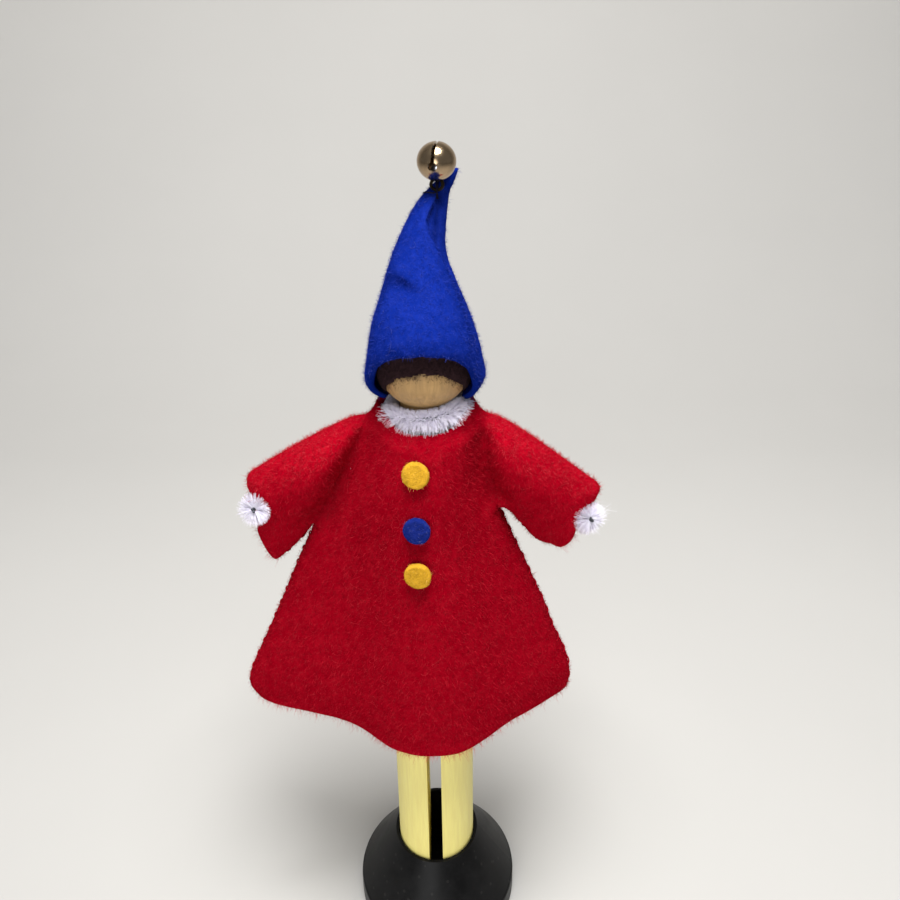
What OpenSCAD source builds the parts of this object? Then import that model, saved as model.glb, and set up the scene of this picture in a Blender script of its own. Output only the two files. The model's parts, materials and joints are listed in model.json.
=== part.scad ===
// A peg doll on a round stand: a turned wooden peg with painted legs, a felt coat sewn down
// both sides, chenille-stem arms and collar, felt buttons and a felt hat with a small bell.
// Millimetres, +Z up, the doll faces -Y, origin at the middle of the stand's underside.

/* [Stand] */
// Outside diameter of the stand
stand_d = 28.4; // [26:0.2:36]
// Height of the stand's upright outer wall
stand_wall_h = 4.8; // [3:0.1:6]
// Whole height of the stand
stand_h = 14.9; // [13:0.1:18]
// Width of the flat lip round the socket
stand_lip = 0.5; // [0.4:0.1:1.2]
// Thickness of the stand under the socket
socket_floor = 4.1; // [3:0.1:6]
// Gap all round between the peg and its socket
socket_gap = 0.2; // [0.1:0.05:0.4]
// Radius on the stand's outer corners
stand_round = 0.8; // [0.4:0.1:1.2]

/* [Peg] */
// Whole length of the peg
peg_len = 114; // [113:0.1:115]
// Diameter of the peg's body and legs
peg_d = 13.5; // [13:0.1:13.8]
// Diameter of the ball head
head_d = 13.8; // [13.2:0.1:13.9]
// Diameter of the neck
neck_d = 7.6; // [6.6:0.1:7.7]
// Length of the neck groove under the ball
neck_len = 8; // [7.6:0.1:8.6]
// Radius on the peg's shoulder
shoulder_round = 2.6; // [1.5:0.1:3]
// Width of the slot between the legs
slot_w = 2.4; // [2:0.1:3.4]
// Length of the slot from the leg ends
slot_len = 62; // [50:1:72]
// Chamfer round the leg ends
leg_chamfer = 1; // [0.5:0.1:1.6]

/* [Felt] */
// Thickness of the felt
felt_t = 1; // [0.8:0.05:1.1]
// Width of felt caught in a sewn seam
seam_w = 2; // [1.5:0.1:2.5]

/* [Coat] */
// Length of the coat from the shoulder line to the hem
coat_len = 53.4; // [47:0.1:58]
// Half of the hem's width from seam to seam
hem_half = 26.9; // [24:0.1:30]
// How far the hem's middle hangs towards the doll's right hand
hem_shift = 4; // [0:0.1:5]
// How far the skirt stands off the peg in front at the hem
hem_front_room = 7.25; // [4.3:0.05:10]
// How far the skirt stands off the peg behind at the hem
hem_back_room = 5.25; // [3.8:0.05:8]
// Depth of the skirt's flat wings, beside the peg, at the hem
wing_depth = 6.8; // [5:0.1:8.5]
// Depth of the doll's left armhole, from the shoulder line to the underarm
armhole_drop_left = 17.4; // [16:0.1:18.8]
// Depth of the doll's right armhole, from the shoulder line to the underarm
armhole_drop_right = 19.9; // [18:0.1:21.8]
// How far the coat's sides stand off the peg at the underarms
underarm_room = 7.45; // [6.85:0.05:8.2]
// How far the underarms' middle sits towards the doll's right hand
underarm_shift = 3.2; // [2:0.1:3.6]
// How far the coat stands off the peg in front at the underarms
belly_front_room = 4.55; // [3.9:0.05:5.7]
// How far the coat stands off the peg behind at the underarms
belly_back_room = 3.05; // [2.45:0.05:4.7]
// How far the coat stands off the peg at each shoulder
shoulder_side_room = 1.65; // [1.45:0.05:2.2]
// How far the coat stands off the peg in front and behind at the shoulders
shoulder_room = 2.15; // [1.85:0.05:2.6]
// Height of the shoulder line above the peg's body
shoulder_rise = 5.46; // [5.2:0.02:5.76]
// Height of the neck edge above the peg's body
neck_edge_rise = 4.76; // [4.6:0.02:4.9]
// Gap between the neck and the coat's neck edge
neck_hole_room = 2.6; // [2.4:0.05:2.8]

/* [Sleeves] */
// Length of the doll's right sleeve from the armhole's middle to the cuff's middle
sleeve_len_right = 14.9; // [13:0.1:18]
// Length of the doll's left sleeve from the armhole's middle to the cuff's middle
sleeve_len_left = 16.1; // [14:0.1:19]
// Depth of the doll's right cuff from top to bottom
cuff_h_right = 17.1; // [14:0.1:18]
// Depth of the doll's left cuff from top to bottom
cuff_h_left = 13; // [12:0.1:14]
// Thickness of a cuff from front to back
cuff_w = 8.6; // [8.4:0.1:10]
// Thickness of a sleeve where it meets the coat
sleeve_root_w = 11; // [10:0.1:12]
// How far the sleeves can be raised, in degrees
arm_raise = 25; // [10:1:30]

/* [Hat] */
// Gap between the hair and the hat's brim
hat_gap = 0.45; // [0.4:0.05:0.9]
// How far the brim at the sides is below the middle of the head
brim_low = 4.9; // [4.2:0.1:5.2]
// How far the brim rises from the sides to the front
brim_rise = 9.2; // [7:0.1:10]
// How far the brim drops from the sides to the back
brim_drop = 2.6; // [1:0.1:2.8]
// Height of the hat's point above the top of the head
hat_peak = 17.6; // [17.2:0.1:20]
// How far the point leans towards the doll's left
hat_lean = 5; // [4.4:0.1:5.6]
// How far the point leans back
hat_back = 13; // [12.6:0.1:14]

/* [Bell] */
// Outside diameter of the bell
bell_d = 5.7; // [5.4:0.1:5.8]
// Thickness of the bell's sheet metal
bell_wall = 0.35; // [0.3:0.05:0.5]
// Width of the bell's slot
bell_slot_w = 0.55; // [0.4:0.05:0.8]
// Diameter of the round hole at each end of the slot
bell_hole_d = 1.3; // [0.8:0.1:1.6]
// Diameter of the loose pellet
pellet_d = 1.8; // [1.4:0.1:2.2]
// Centre-line radius of the bell's loop
bell_loop_r = 0.85; // [0.8:0.05:0.95]
// Diameter of the loop's wire
bell_loop_wire_d = 0.5; // [0.4:0.05:0.55]

/* [Chenille] */
// Diameter of a chenille stem's wire core
wire_d = 0.8; // [0.6:0.05:0.9]
// Diameter of the matted middle of the pile
pile_core_d = 1.8; // [1.6:0.1:1.9]
// Diameter over the pile's tips where it is free
pile_d = 3.8; // [3.4:0.1:4]
// Diameter over the pile's tips at the hands
hand_d = 6.2; // [5:0.1:6.4]
// Length of each hand
hand_len = 3.6; // [3:0.1:4.5]
// How far the left hand's tip stands out of the middle of the cuff
hand_out_left = 3; // [2:0.1:4]
// How far the right hand's tip stands out of the middle of the cuff
hand_out_right = 1.5; // [1:0.1:3]
// How far the collar's middle is below the foot of the head
collar_drop = 0.94; // [0.84:0.02:1.04]
// How far the collar's middle stands off the neck
collar_room = 1.5; // [1.4:0.05:1.6]
// How far the middle of the stem wound round the neck stands off it
wrap_room = 1.4; // [1.35:0.05:1.5]
// Height of the wound stem's middle above the peg's body
wrap_rise = 1.86; // [1.56:0.02:2.06]
// Diameter of the pile where it is squeezed under the coat
wrap_pile_d = 2.5; // [2.2:0.1:2.6]

/* [Trim] */
// Diameter of a felt button
button_d = 3.9; // [3.2:0.1:4.4]
// Thickness of a felt button
button_t = 1; // [0.8:0.1:1.2]
// Distance of the buttons from the middle towards the doll's right
button_shift = 1.3; // [0:0.1:2]
// Thickness of the wool hair on the head
hair_t = 0.35; // [0.3:0.05:0.4]
// Diameter of the sewing thread
thread_d = 0.4; // [0.3:0.05:0.5]
// Distance between stitches
stitch_pitch = 2.7; // [2.2:0.1:4]

/* [Hidden] */

// One overrun serves every cut
over = 1;
full_turn = 360;
// Running gap between a bore and the wire in it
wire_gap = 0.03;
// Gap that keeps a soft piece clear of its neighbour
soft_gap = 0.12;

stand_r = stand_d / 2;
peg_r = peg_d / 2;
socket_r = peg_r + socket_gap;
head_r = head_d / 2;
neck_r = neck_d / 2;
head_z = socket_floor + peg_len - head_r;
neck_top_z = head_z - sqrt(head_r * head_r - neck_r * neck_r);
body_top_z = neck_top_z - neck_len;
peg_top_z = socket_floor + peg_len;

shoulder_z = body_top_z + shoulder_rise;
shoulder_half = peg_r + shoulder_side_room;
underarm_half = peg_r + underarm_room;
hem_z = shoulder_z - coat_len;
neck_hole_r = neck_r + neck_hole_room;
collar_z = neck_top_z - collar_drop;
collar_r = neck_r + collar_room;
wrap_z = body_top_z + wrap_rise;
wrap_r = neck_r + wrap_room;
brim_r = head_r + hair_t + hat_gap + felt_t;
brim_z = head_z - brim_low;
hat_h = peg_top_z + hat_peak - brim_z;

function lerp(a, b, t) = a + (b - a) * t;
function ease(t) = t * t * (3 - 2 * t);
function turned(v, a) = [v[0] * cos(a) - v[1] * sin(a), v[0] * sin(a) + v[1] * cos(a)];
function arc(cx, cy, r, from, to, n) =
    [for (k = [0:n]) [cx + r * cos(lerp(from, to, k / n)), cy + r * sin(lerp(from, to, k / n))]];

// A shell from two grids of rings, outside and inside, with its rims closed. Rings run
// anticlockwise seen from above and rise. A cell is left out where gone(row, column) holds,
// and both last rings are closed if tip is true.
function shell_faces(rows, sides, kept, tip) =
    let (half = (rows + 1) * sides,
         there = function (j, i) j >= 0 && j < rows && kept[j][(i + sides) % sides],
         quads = [for (j = [0:rows - 1]) for (i = [0:sides - 1]) if (kept[j][i])
             let (n = (i + 1) % sides, a = j * sides + i, b = j * sides + n,
                  c = (j + 1) * sides + n, d = (j + 1) * sides + i)
             each concat(
                 [[a, d, c, b], [half + a, half + b, half + c, half + d]],
                 there(j - 1, i) ? [] : [[a, b, half + b, half + a]],
                 there(j, i + 1) ? [] : [[b, c, half + c, half + b]],
                 there(j + 1, i) || (tip && j == rows - 1) ? [] : [[c, d, half + d, half + c]],
                 there(j, i - 1) ? [] : [[d, a, half + a, half + d]])],
         top = rows * sides,
         caps = tip ? [for (i = [1:sides - 2]) each
             [[top, top + i + 1, top + i], [half + top, half + top + i, half + top + i + 1]]] : [])
    concat([for (q = quads) each [[q[0], q[1], q[2]], [q[0], q[2], q[3]]]], caps);
module shell(outside, inside, gone = function (j, i) false, tip = false) {
    rows = len(outside) - 1;
    sides = len(outside[0]);
    kept = [for (j = [0:rows - 1]) [for (i = [0:sides - 1]) !gone(j, i)]];
    polyhedron(points = [for (grid = [outside, inside]) for (ring = grid) each ring],
               faces = shell_faces(rows, sides, kept, tip), convexity = 8);
}

// The stand is a low round wall under a cone, with a blind socket for the leg ends.
stand_cone_turn = 50;
module stand() {
    lip_r = socket_r + stand_lip;
    color("#17171a")
    difference() {
        rotate_extrude($fn = 96)
        polygon(concat(
            [[0, 0]],
            arc(stand_r - stand_round, stand_round, stand_round, -90, 0, 4),
            arc(stand_r - stand_round, stand_wall_h - stand_round, stand_round, 0, stand_cone_turn, 4),
            [[lip_r, stand_h], [0, stand_h]]));
        translate([0, 0, socket_floor])
        cylinder(r = socket_r, h = stand_h, $fn = 96);
    }
}

// The peg is one turned piece: ball head, neck groove, body and two legs.
module peg_profile() {
    translate([0, head_z])
    circle(r = head_r, $fn = 96);
    translate([0, body_top_z - shoulder_round])
    square([neck_r, head_z - body_top_z + shoulder_round]);
    polygon(concat(
        [[0, socket_floor], [peg_r - leg_chamfer, socket_floor],
         [peg_r, socket_floor + leg_chamfer]],
        arc(peg_r - shoulder_round, body_top_z - shoulder_round, shoulder_round, 0, 90, 8),
        [[0, body_top_z]]));
}
slot_flare_share = 0.35;
module peg() {
    flare = slot_w * slot_flare_share;
    color("#e5cf83")
    difference() {
        rotate_extrude($fn = 96)
        intersection() {
            peg_profile();
            square([peg_d, peg_len + peg_d]);
        }
        translate([0, 0, socket_floor - over])
        rotate([90, 0, 0])
        linear_extrude(height = peg_d + 2 * over, center = true)
        union() {
            translate([-slot_w / 2, 0])
            square([slot_w, slot_len + over - slot_w / 2]);
            translate([0, slot_len + over - slot_w / 2])
            circle(r = slot_w / 2, $fn = 48);
            polygon([[-slot_w / 2 - flare, 0], [slot_w / 2 + flare, 0],
                     [slot_w / 2, slot_w + over], [-slot_w / 2, slot_w + over]]);
        }
    }
}

// A cap of dark wool hair, open over the face below a slanting hair line.
hair_tilt = 42;
hair_line_share = 0.3;
module hair() {
    color("#33211d")
    translate([0, 0, head_z])
    difference() {
        sphere(r = head_r + hair_t, $fn = 96);
        sphere(r = head_r, $fn = 96);
        rotate([-hair_tilt, 0, 0])
        translate([-head_d, -head_d, -2 * head_d + head_r * hair_line_share])
        cube([2 * head_d, 2 * head_d, 2 * head_d]);
    }
}

// The coat is one piece of felt, folded at the shoulders and sewn down both sides. A level
// runs from 0 at the hem to 1 at the underarms, 2 at the shoulders and 3 at the neck, and u
// from -1 at the doll's right to 1 at its left. way is -1 on the front and 1 on the back.
coat_cols = 14;
skirt_rows = 7;
chest_rows = 5;
yoke_rows = 3;
wing_shares = [[0, 1], [1, 0.68], [1.35, 0.95], [2, 1.03]];
fold_width_shares = [[0, 1], [1, 0.9], [2, 0.75]];
fold_half_share = 0.54;
fold_shift_share = 0.2;
fold_sharp = 1.2;
wing_curve = 2.4;
wing_fullness = 0.8;
shoulder_slope_share = 0.4;
yoke_puff_share = 0.06;
neck_split = 86;
armhole_round = 0.6;
edge_gap = 0.1;
function side_z(right, left, u) = lerp(right, left, (u + 1) / 2);
function coat_half(level) =
    level <= 1 ? lerp(hem_half, underarm_half, level)
               : lerp(underarm_half, shoulder_half, level - 1);
function coat_mid(level) =
    level <= 1 ? -lerp(hem_shift, underarm_shift, level) : -underarm_shift * (2 - level);
function coat_depth(level, way) =
    let (hem = way < 0 ? hem_front_room : hem_back_room,
         belly = way < 0 ? belly_front_room : belly_back_room)
    peg_r + (level <= 1 ? lerp(hem, belly, level) : lerp(belly, shoulder_room, level - 1));
function armhole_open(level) =
    level <= 1 || level >= 2 ? 0
        : (sleeve_root_w / 2 - felt_t) * pow(sin(180 * (level - 1)), armhole_round);
function coat_fold(x, level) =
    let (q = (x - hem_shift * fold_shift_share)
             / (hem_half * fold_half_share * lookup(level, fold_width_shares)))
    abs(q) < 1 ? pow(cos(90 * q), fold_sharp) : 0;
function coat_height(level, u) =
    let (low = shoulder_z - side_z(armhole_drop_right, armhole_drop_left, u),
         top = shoulder_z - shoulder_half * shoulder_slope_share * (1 - u * u))
    level <= 1 ? lerp(hem_z, low, level) : lerp(low, top, level - 1);
function coat_panel(level, u, way, inside) =
    let (inset = inside ? lerp(seam_w, felt_t, max(0, level - 1)) : 0,
         x = coat_mid(level) + (coat_half(level) - inset) * u,
         edge = armhole_open(level) + edge_gap,
         wing = max(edge, wing_depth * lookup(level, wing_shares) - felt_t),
         deep = max(wing, coat_depth(level, way) - felt_t),
         round = pow(1 - pow(abs(u), wing_curve), wing_fullness))
    [x, way * (edge + (wing - edge) * round + (deep - wing) * coat_fold(x, level) * round
               + (inside ? 0 : felt_t)), coat_height(level, u)];
function coat_point(level, u, way, inside) =
    level <= 2 ? coat_panel(level, u, way, inside)
    : let (t = level - 2, from = coat_panel(2, u, way, inside),
           to = [neck_hole_r * sin(neck_split * u), way * neck_hole_r * cos(neck_split * u)],
           z = body_top_z + neck_edge_rise - (inside ? felt_t : 0))
      [lerp(to[0], from[0], cos(90 * t)), lerp(to[1], from[1], cos(90 * t)),
       lerp(from[2] - (inside ? felt_t * abs(u) : 0), z, sin(90 * t))
       + shoulder_half * yoke_puff_share * sin(180 * t)];
coat_levels = concat([for (k = [0:skirt_rows]) k / skirt_rows],
                     [for (k = [1:chest_rows]) 1 + k / chest_rows],
                     [for (k = [1:yoke_rows]) 2 + k / yoke_rows]);
function coat_ring(level, inside) = concat(
    [for (k = [0:coat_cols]) coat_point(level, 2 * k / coat_cols - 1, -1, inside)],
    [for (k = [0:coat_cols]) coat_point(level, 1 - 2 * k / coat_cols, 1, inside)]);
function in_armhole(j, i) =
    j >= skirt_rows && j < skirt_rows + chest_rows && (i == coat_cols || i == 2 * coat_cols + 1);
module coat() {
    color("#a5041f")
    shell([for (v = coat_levels) coat_ring(v, false)], [for (v = coat_levels) coat_ring(v, true)],
          gone = function (j, i) in_armhole(j, i));
}

// One ring of thread round a sewn edge, its plane square to the seam.
stitch_r = felt_t + edge_gap + thread_d / 2 + soft_gap;
stitch_in_share = 0.75;
module stitch(place, seam_turn) {
    translate(place)
    rotate([0, seam_turn, 0])
    rotate_extrude($fn = 48)
    translate([stitch_r, 0])
    circle(r = thread_d / 2, $fn = 24);
}
// Stitches between two points of the X-Z plane, set in from the edge. inward is -1 or 1.
module seam_stitches(low, high, inward) {
    run = high - low;
    long = norm(run);
    count = floor(long / stitch_pitch);
    side = inward * [run[1], -run[0]] / long;
    for (k = [0:count - 1]) {
        at = low + run * (k + 0.5) / count + side * stitch_r * stitch_in_share;
        stitch([at[0], 0, at[1]], atan2(run[0], run[1]));
    }
}
hem_left = [hem_half - hem_shift, hem_z];
hem_right = [-hem_half - hem_shift, hem_z];
underarm_left = [underarm_half - underarm_shift, shoulder_z - armhole_drop_left];
underarm_right = [-underarm_half - underarm_shift, shoulder_z - armhole_drop_right];
module side_stitches_left() {
    color("#8c0a1e")
    seam_stitches(hem_left, underarm_left, -1);
}
module side_stitches_right() {
    color("#8c0a1e")
    seam_stitches(hem_right, underarm_right, 1);
}

// Felt buttons lie flat on the front of the coat, at these shares of the levels.
button_level_shares = [0.898, 0.342, 0.941];
feel = 0.04;
button_gap = 2 * soft_gap;
module button_at(level) {
    u = (-button_shift - coat_mid(level)) / coat_half(level);
    here = coat_point(level, u, -1, false);
    up = coat_point(level + feel, u, -1, false) - coat_point(level - feel, u, -1, false);
    aside = coat_point(level, u + feel, -1, false) - coat_point(level, u - feel, -1, false);
    out = cross(aside, up);
    n = out / norm(out);
    translate(here + n * button_gap)
    rotate([0, 0, atan2(n[0], -n[1])])
    rotate([90 - asin(n[2]), 0, 0])
    cylinder(d = button_d, h = button_t, $fn = 64);
}
module button_top() {
    color("#e9b02f")
    button_at(1 + button_level_shares[0]);
}
module button_middle() {
    color("#1b2f86")
    button_at(1 + button_level_shares[1]);
}
module button_bottom() {
    color("#e9b02f")
    button_at(button_level_shares[2]);
}

// A sleeve is a flat tube of felt from the armhole to the cuff. side is 1 on the doll's left.
// Its root falls away from the armhole above and below the pivot, as far as the arm bends.
sleeve_sides = 20;
sleeve_rows = 5;
sleeve_fold = 0.8;
sleeve_edge_share = 1.15;
arm_lower_left = 12;
arm_lower_right = 8;
root_top_share = 0.72;
root_low_share = 1.02;
pivot_gap = 0.3;
cuff_lean_left = 22;
cuff_lean_right = 7;
sleeve_dip_left = 37.5;
sleeve_dip_right = 34.4;
cuff_bow_share = 0.16;
function armhole(side) =
    [[side * shoulder_half, shoulder_z], side > 0 ? underarm_left : underarm_right];
function pivot(side) = (armhole(side)[0] + armhole(side)[1]) / 2;
function cuff_mid(side) =
    let (long = side > 0 ? sleeve_len_left : sleeve_len_right,
         dip = side > 0 ? sleeve_dip_left : sleeve_dip_right)
    pivot(side) + long * [side * cos(dip), -sin(dip)];
function cuff_up(side) =
    let (lean = side > 0 ? cuff_lean_left : cuff_lean_right,
         h = side > 0 ? cuff_h_left : cuff_h_right)
    h / 2 * [side * sin(lean), cos(lean)];
function sleeve_edge(side, t, c) =
    let (hole = armhole(side), up = (hole[0] - hole[1]) / 2,
         away = side * [up[1], -up[0]] / norm(up),
         low_turn = side > 0 ? arm_lower_left : arm_lower_right,
         root = pivot(side) + away * pivot_gap
             + (c >= 0 ? turned(up, -side * arm_raise) * c * root_top_share
                       : turned(up, side * low_turn) * c * root_low_share),
         bow = side * cuff_bow_share * norm(cuff_up(side)) * (1 - c * c),
         cuff = cuff_mid(side) + cuff_up(side) * c + [bow, 0])
    lerp(root, cuff, t);
function sleeve_ring(side, t, inside) =
    let (tall = norm(sleeve_edge(side, t, 1) - sleeve_edge(side, t, -1)) / 2,
         shrink = inside ? 1 - felt_t * sleeve_edge_share / tall : 1,
         wide = lerp(sleeve_root_w - 2 * felt_t, cuff_w, t) / 2 - (inside ? felt_t : 0))
    [for (i = [0:sleeve_sides - 1])
        let (turn = -side * full_turn * i / sleeve_sides, s = sin(turn),
             at = sleeve_edge(side, t, cos(turn) * shrink))
        [at[0], wide * sign(s) * pow(abs(s), sleeve_fold), at[1]]];
module sleeve(side) {
    color("#c20a2b")
    shell([for (k = [0:sleeve_rows]) sleeve_ring(side, k / sleeve_rows, false)],
          [for (k = [0:sleeve_rows]) sleeve_ring(side, k / sleeve_rows, true)]);
}
module sleeve_stitches(side) {
    color("#8c0a1e")
    seam_stitches(sleeve_edge(side, 1, -1), sleeve_edge(side, 0, -1), side);
}
module left_sleeve() {
    sleeve(1);
}
module right_sleeve() {
    sleeve(-1);
}
module left_sleeve_stitches() {
    sleeve_stitches(1);
}
module right_sleeve_stitches() {
    sleeve_stitches(-1);
}

// Chenille pile: a bored core with a tapered strand standing on each cell of its outside.
// rings and bores are grids of points along the stem, and tips[j][i] is each strand's tip.
pile_sides = 6;
pile_turn = full_turn / pile_sides;
strand_share = 0.36;
strand_points = 5;
module pile(rings, bores, tips) {
    rows = len(rings) - 1;
    half = (rows + 1) * pile_sides;
    cells = [for (j = [0:rows - 1]) for (i = [0:pile_sides - 1]) [j, i]];
    corners = [for (q = cells) let (n = (q[1] + 1) % pile_sides)
        [q[0] * pile_sides + q[1], (q[0] + 1) * pile_sides + q[1],
         (q[0] + 1) * pile_sides + n, q[0] * pile_sides + n]];
    base = [for (grid = [rings, bores]) for (ring = grid) each ring];
    feet = [for (k = [0:len(cells) - 1])
        let (p = [for (c = corners[k]) base[c]], mid = (p[0] + p[1] + p[2] + p[3]) / 4)
        each concat([for (v = p) mid + (v - mid) * strand_share], [tips[cells[k][0]][cells[k][1]]])];
    faces = [for (k = [0:len(cells) - 1])
        let (c = corners[k], f = 2 * half + strand_points * k)
        each concat(
            [for (e = [0:3]) let (n = (e + 1) % 4) each
                [[c[e], c[n], f + n], [c[e], f + n, f + e], [f + e, f + n, f + 4]]],
            [[half + c[0], half + c[3], half + c[2]], [half + c[0], half + c[2], half + c[1]]])];
    last = rows * pile_sides;
    ends = [for (i = [0:pile_sides - 1]) let (n = (i + 1) % pile_sides) each
        [[i, n, half + n], [i, half + n, half + i],
         [last + n, last + i, half + last + i], [last + n, half + last + i, half + last + n]]];
    polyhedron(points = concat(base, feet), faces = concat(faces, ends), convexity = 8);
}
// Six points round a ring-shaped stem or a straight one. A six-sided bore clears a round
// wire once its flats do.
ring_gap_turn = 6;
function ring_at(radius, turn, r) =
    [for (i = [0:pile_sides - 1]) let (a = -pile_turn * i)
        [(radius + r * cos(a)) * cos(turn), (radius + r * cos(a)) * sin(turn), r * sin(a)]];
function ring_turn(t) = 90 + ring_gap_turn + (full_turn - 2 * ring_gap_turn) * t;
function rod_at(z, r) =
    [for (i = [0:pile_sides - 1]) let (a = -pile_turn * i) [r * cos(a), r * sin(a), z]];
bore_r = (wire_d / 2 + wire_gap) / cos(pile_turn / 2);

// The collar is a chenille stem bent round the neck, its ends meeting behind. The head
// squashes its pile on the upper inner side.
collar_rows = 32;
collar_lean = 5;
squash_share = 0.5;
squash_turn = 135;
ruffle_share = 0.1;
ruffle_row_turn = 137;
ruffle_side_turn = 61;
function ruffle(j, a) =
    1 - ruffle_share * (1 + sin(ruffle_row_turn * j + ruffle_side_turn * a)) / 2;
function collar_tip_r(a, j) =
    pile_d / 2 * lerp(1, squash_share, ease((1 + cos(a - squash_turn)) / 2)) * ruffle(j, a);
module on_collar() {
    translate([0, 0, collar_z])
    rotate([0, -collar_lean, 0])
    children();
}
module stem_ring(radius, r, gap_turn) {
    rotate([0, 0, 90 + gap_turn])
    rotate_extrude(angle = full_turn - 2 * gap_turn, $fn = 96)
    translate([radius, 0])
    circle(r = r, $fn = 32);
}
module collar_wire() {
    color("#7d7f86")
    on_collar()
    stem_ring(collar_r, wire_d / 2, ring_gap_turn);
}
module collar_pile() {
    rings = [for (j = [0:collar_rows])
        ring_at(collar_r, ring_turn(j / collar_rows), pile_core_d / 2)];
    bores = [for (j = [0:collar_rows]) ring_at(collar_r, ring_turn(j / collar_rows), bore_r)];
    tips = [for (j = [0:collar_rows - 1])
        let (turn = ring_turn((j + 0.5) / collar_rows))
        [for (i = [0:pile_sides - 1])
            let (a = -pile_turn * (i + 0.5), r = collar_tip_r(a, j))
            [(collar_r + r * cos(a)) * cos(turn), (collar_r + r * cos(a)) * sin(turn), r * sin(a)]]];
    color("#eceaf4")
    on_collar()
    pile(rings, bores, tips);
}

// The stem that makes both arms is wound once round the neck under the coat, and leaves on
// each side for the armhole, where the arm bends.
wrap_gap_turn = 10;
wrap_stub_share = 0.92;
arm_gap = 0.35;
pile_gap = 1.2;
function at_pivot(side) = [pivot(side)[0], 0, pivot(side)[1]];
function arm_root(side) = [side * wrap_r, 0, wrap_z];
module along(from, to) {
    run = to - from;
    translate(from)
    rotate([0, atan2(run[0], run[2]), 0])
    children();
}
module wrap_stem(r, short, gap_turn) {
    translate([0, 0, wrap_z])
    stem_ring(wrap_r, r, gap_turn);
    for (side = [-1, 1]) {
        along(arm_root(side), at_pivot(side))
        cylinder(r = r * wrap_stub_share, h = norm(at_pivot(side) - arm_root(side)) - short,
                 $fn = 32);
    }
}
module neck_wrap_wire() {
    color("#7d7f86")
    wrap_stem(wire_d / 2, arm_gap, wrap_gap_turn);
}
module neck_wrap_pile() {
    color("#eceaf4")
    difference() {
        wrap_stem(wrap_pile_d / 2, pile_gap, wrap_gap_turn);
        wrap_stem(wire_d / 2 + wire_gap, 0, wrap_gap_turn / 2);
    }
}

// Each arm runs from its pivot down the sleeve and ends in a bushy hand in the cuff.
hand_rise_share_left = 0.1;
hand_rise_share_right = 0.26;
arm_rows = 3;
hand_rows = 8;
hand_waist_share = 0.75;
function arm_end(side) =
    let (rise = side > 0 ? hand_rise_share_left : hand_rise_share_right,
         mid = cuff_mid(side) + cuff_up(side) * rise,
         way = (mid - pivot(side)) / norm(mid - pivot(side)),
         end = mid + way * (side > 0 ? hand_out_left : hand_out_right))
    [end[0], 0, end[1]];
function arm_len(side) = norm(arm_end(side) - at_pivot(side));
module arm_wire(side) {
    color("#7d7f86")
    along(at_pivot(side), arm_end(side))
    translate([0, 0, arm_gap])
    cylinder(d = wire_d, h = arm_len(side) - arm_gap, $fn = 32);
}
module arm_pile(side) {
    plain = arm_len(side) - hand_len - pile_gap;
    stops = concat([for (k = [0:arm_rows]) pile_gap + plain * k / arm_rows],
                   [for (k = [1:hand_rows]) pile_gap + plain + hand_len * k / hand_rows]);
    rows = arm_rows + hand_rows;
    reach = function (j) j < arm_rows ? wrap_pile_d / 2
        : hand_d / 2 * lerp(hand_waist_share, 1, ease((j - arm_rows) / (hand_rows - 1)));
    color("#eceaf4")
    along(at_pivot(side), arm_end(side))
    pile([for (z = stops) rod_at(z, pile_core_d / 2)], [for (z = stops) rod_at(z, bore_r)],
         [for (j = [0:rows - 1]) [for (i = [0:pile_sides - 1])
             let (a = -pile_turn * (i + 0.5), r = reach(j) * ruffle(j, a))
             [r * cos(a), r * sin(a), (stops[j] + stops[j + 1]) / 2]]]);
}
module left_arm_wire() {
    arm_wire(1);
}
module left_arm_pile() {
    arm_pile(1);
}
module right_arm_wire() {
    arm_wire(-1);
}
module right_arm_pile() {
    arm_pile(-1);
}

// The hat is a felt cone, high in front and low behind, whose point leans back and aside.
hat_sides = 26;
hat_rows = 13;
hat_width_shares = [[0, 1], [0.17, 0.97], [0.28, 0.9], [0.386, 0.75], [0.48, 0.6],
                    [0.586, 0.468], [0.746, 0.37], [0.824, 0.305], [0.92, 0.18], [1, 0.06]];
hat_lean_shares = [[0, 0], [0.2, 0], [0.386, -0.07], [0.586, -0.14], [0.746, 0.07], [0.824, 0.24],
                   [0.92, 0.5], [1, 1]];
hat_back_shares = [[0, 0], [0.17, 0.05], [0.28, 0.18], [0.386, 0.36], [0.586, 0.62],
                   [0.746, 0.8], [0.824, 0.88], [0.92, 1], [1, 1.02]];
hat_fade = 1.5;
brim_curve = 1.3;
hat_inner_end_share = 0.78;
function brim_line(s) = s < 0 ? brim_rise * pow(-s, brim_curve) : -brim_drop * s;
function hat_middle(t) =
    [hat_lean * lookup(t, hat_lean_shares), hat_back * lookup(t, hat_back_shares),
     brim_z + hat_h * t];
function hat_point(t, a, inside) =
    let (r = brim_r * lookup(t, hat_width_shares) - (inside ? felt_t : 0))
    hat_middle(t) + [r * cos(a), r * sin(a), pow(1 - t, hat_fade) * brim_line(sin(a))];
function hat_ring(t, inside) =
    [for (i = [0:hat_sides - 1]) hat_point(t, full_turn * i / hat_sides, inside)];
module hat() {
    color("#1231a6")
    shell([for (k = [0:hat_rows]) hat_ring(k / hat_rows, false)],
          [for (k = [0:hat_rows]) hat_ring(k / hat_rows * hat_inner_end_share, true)],
          tip = true);
}
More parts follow.
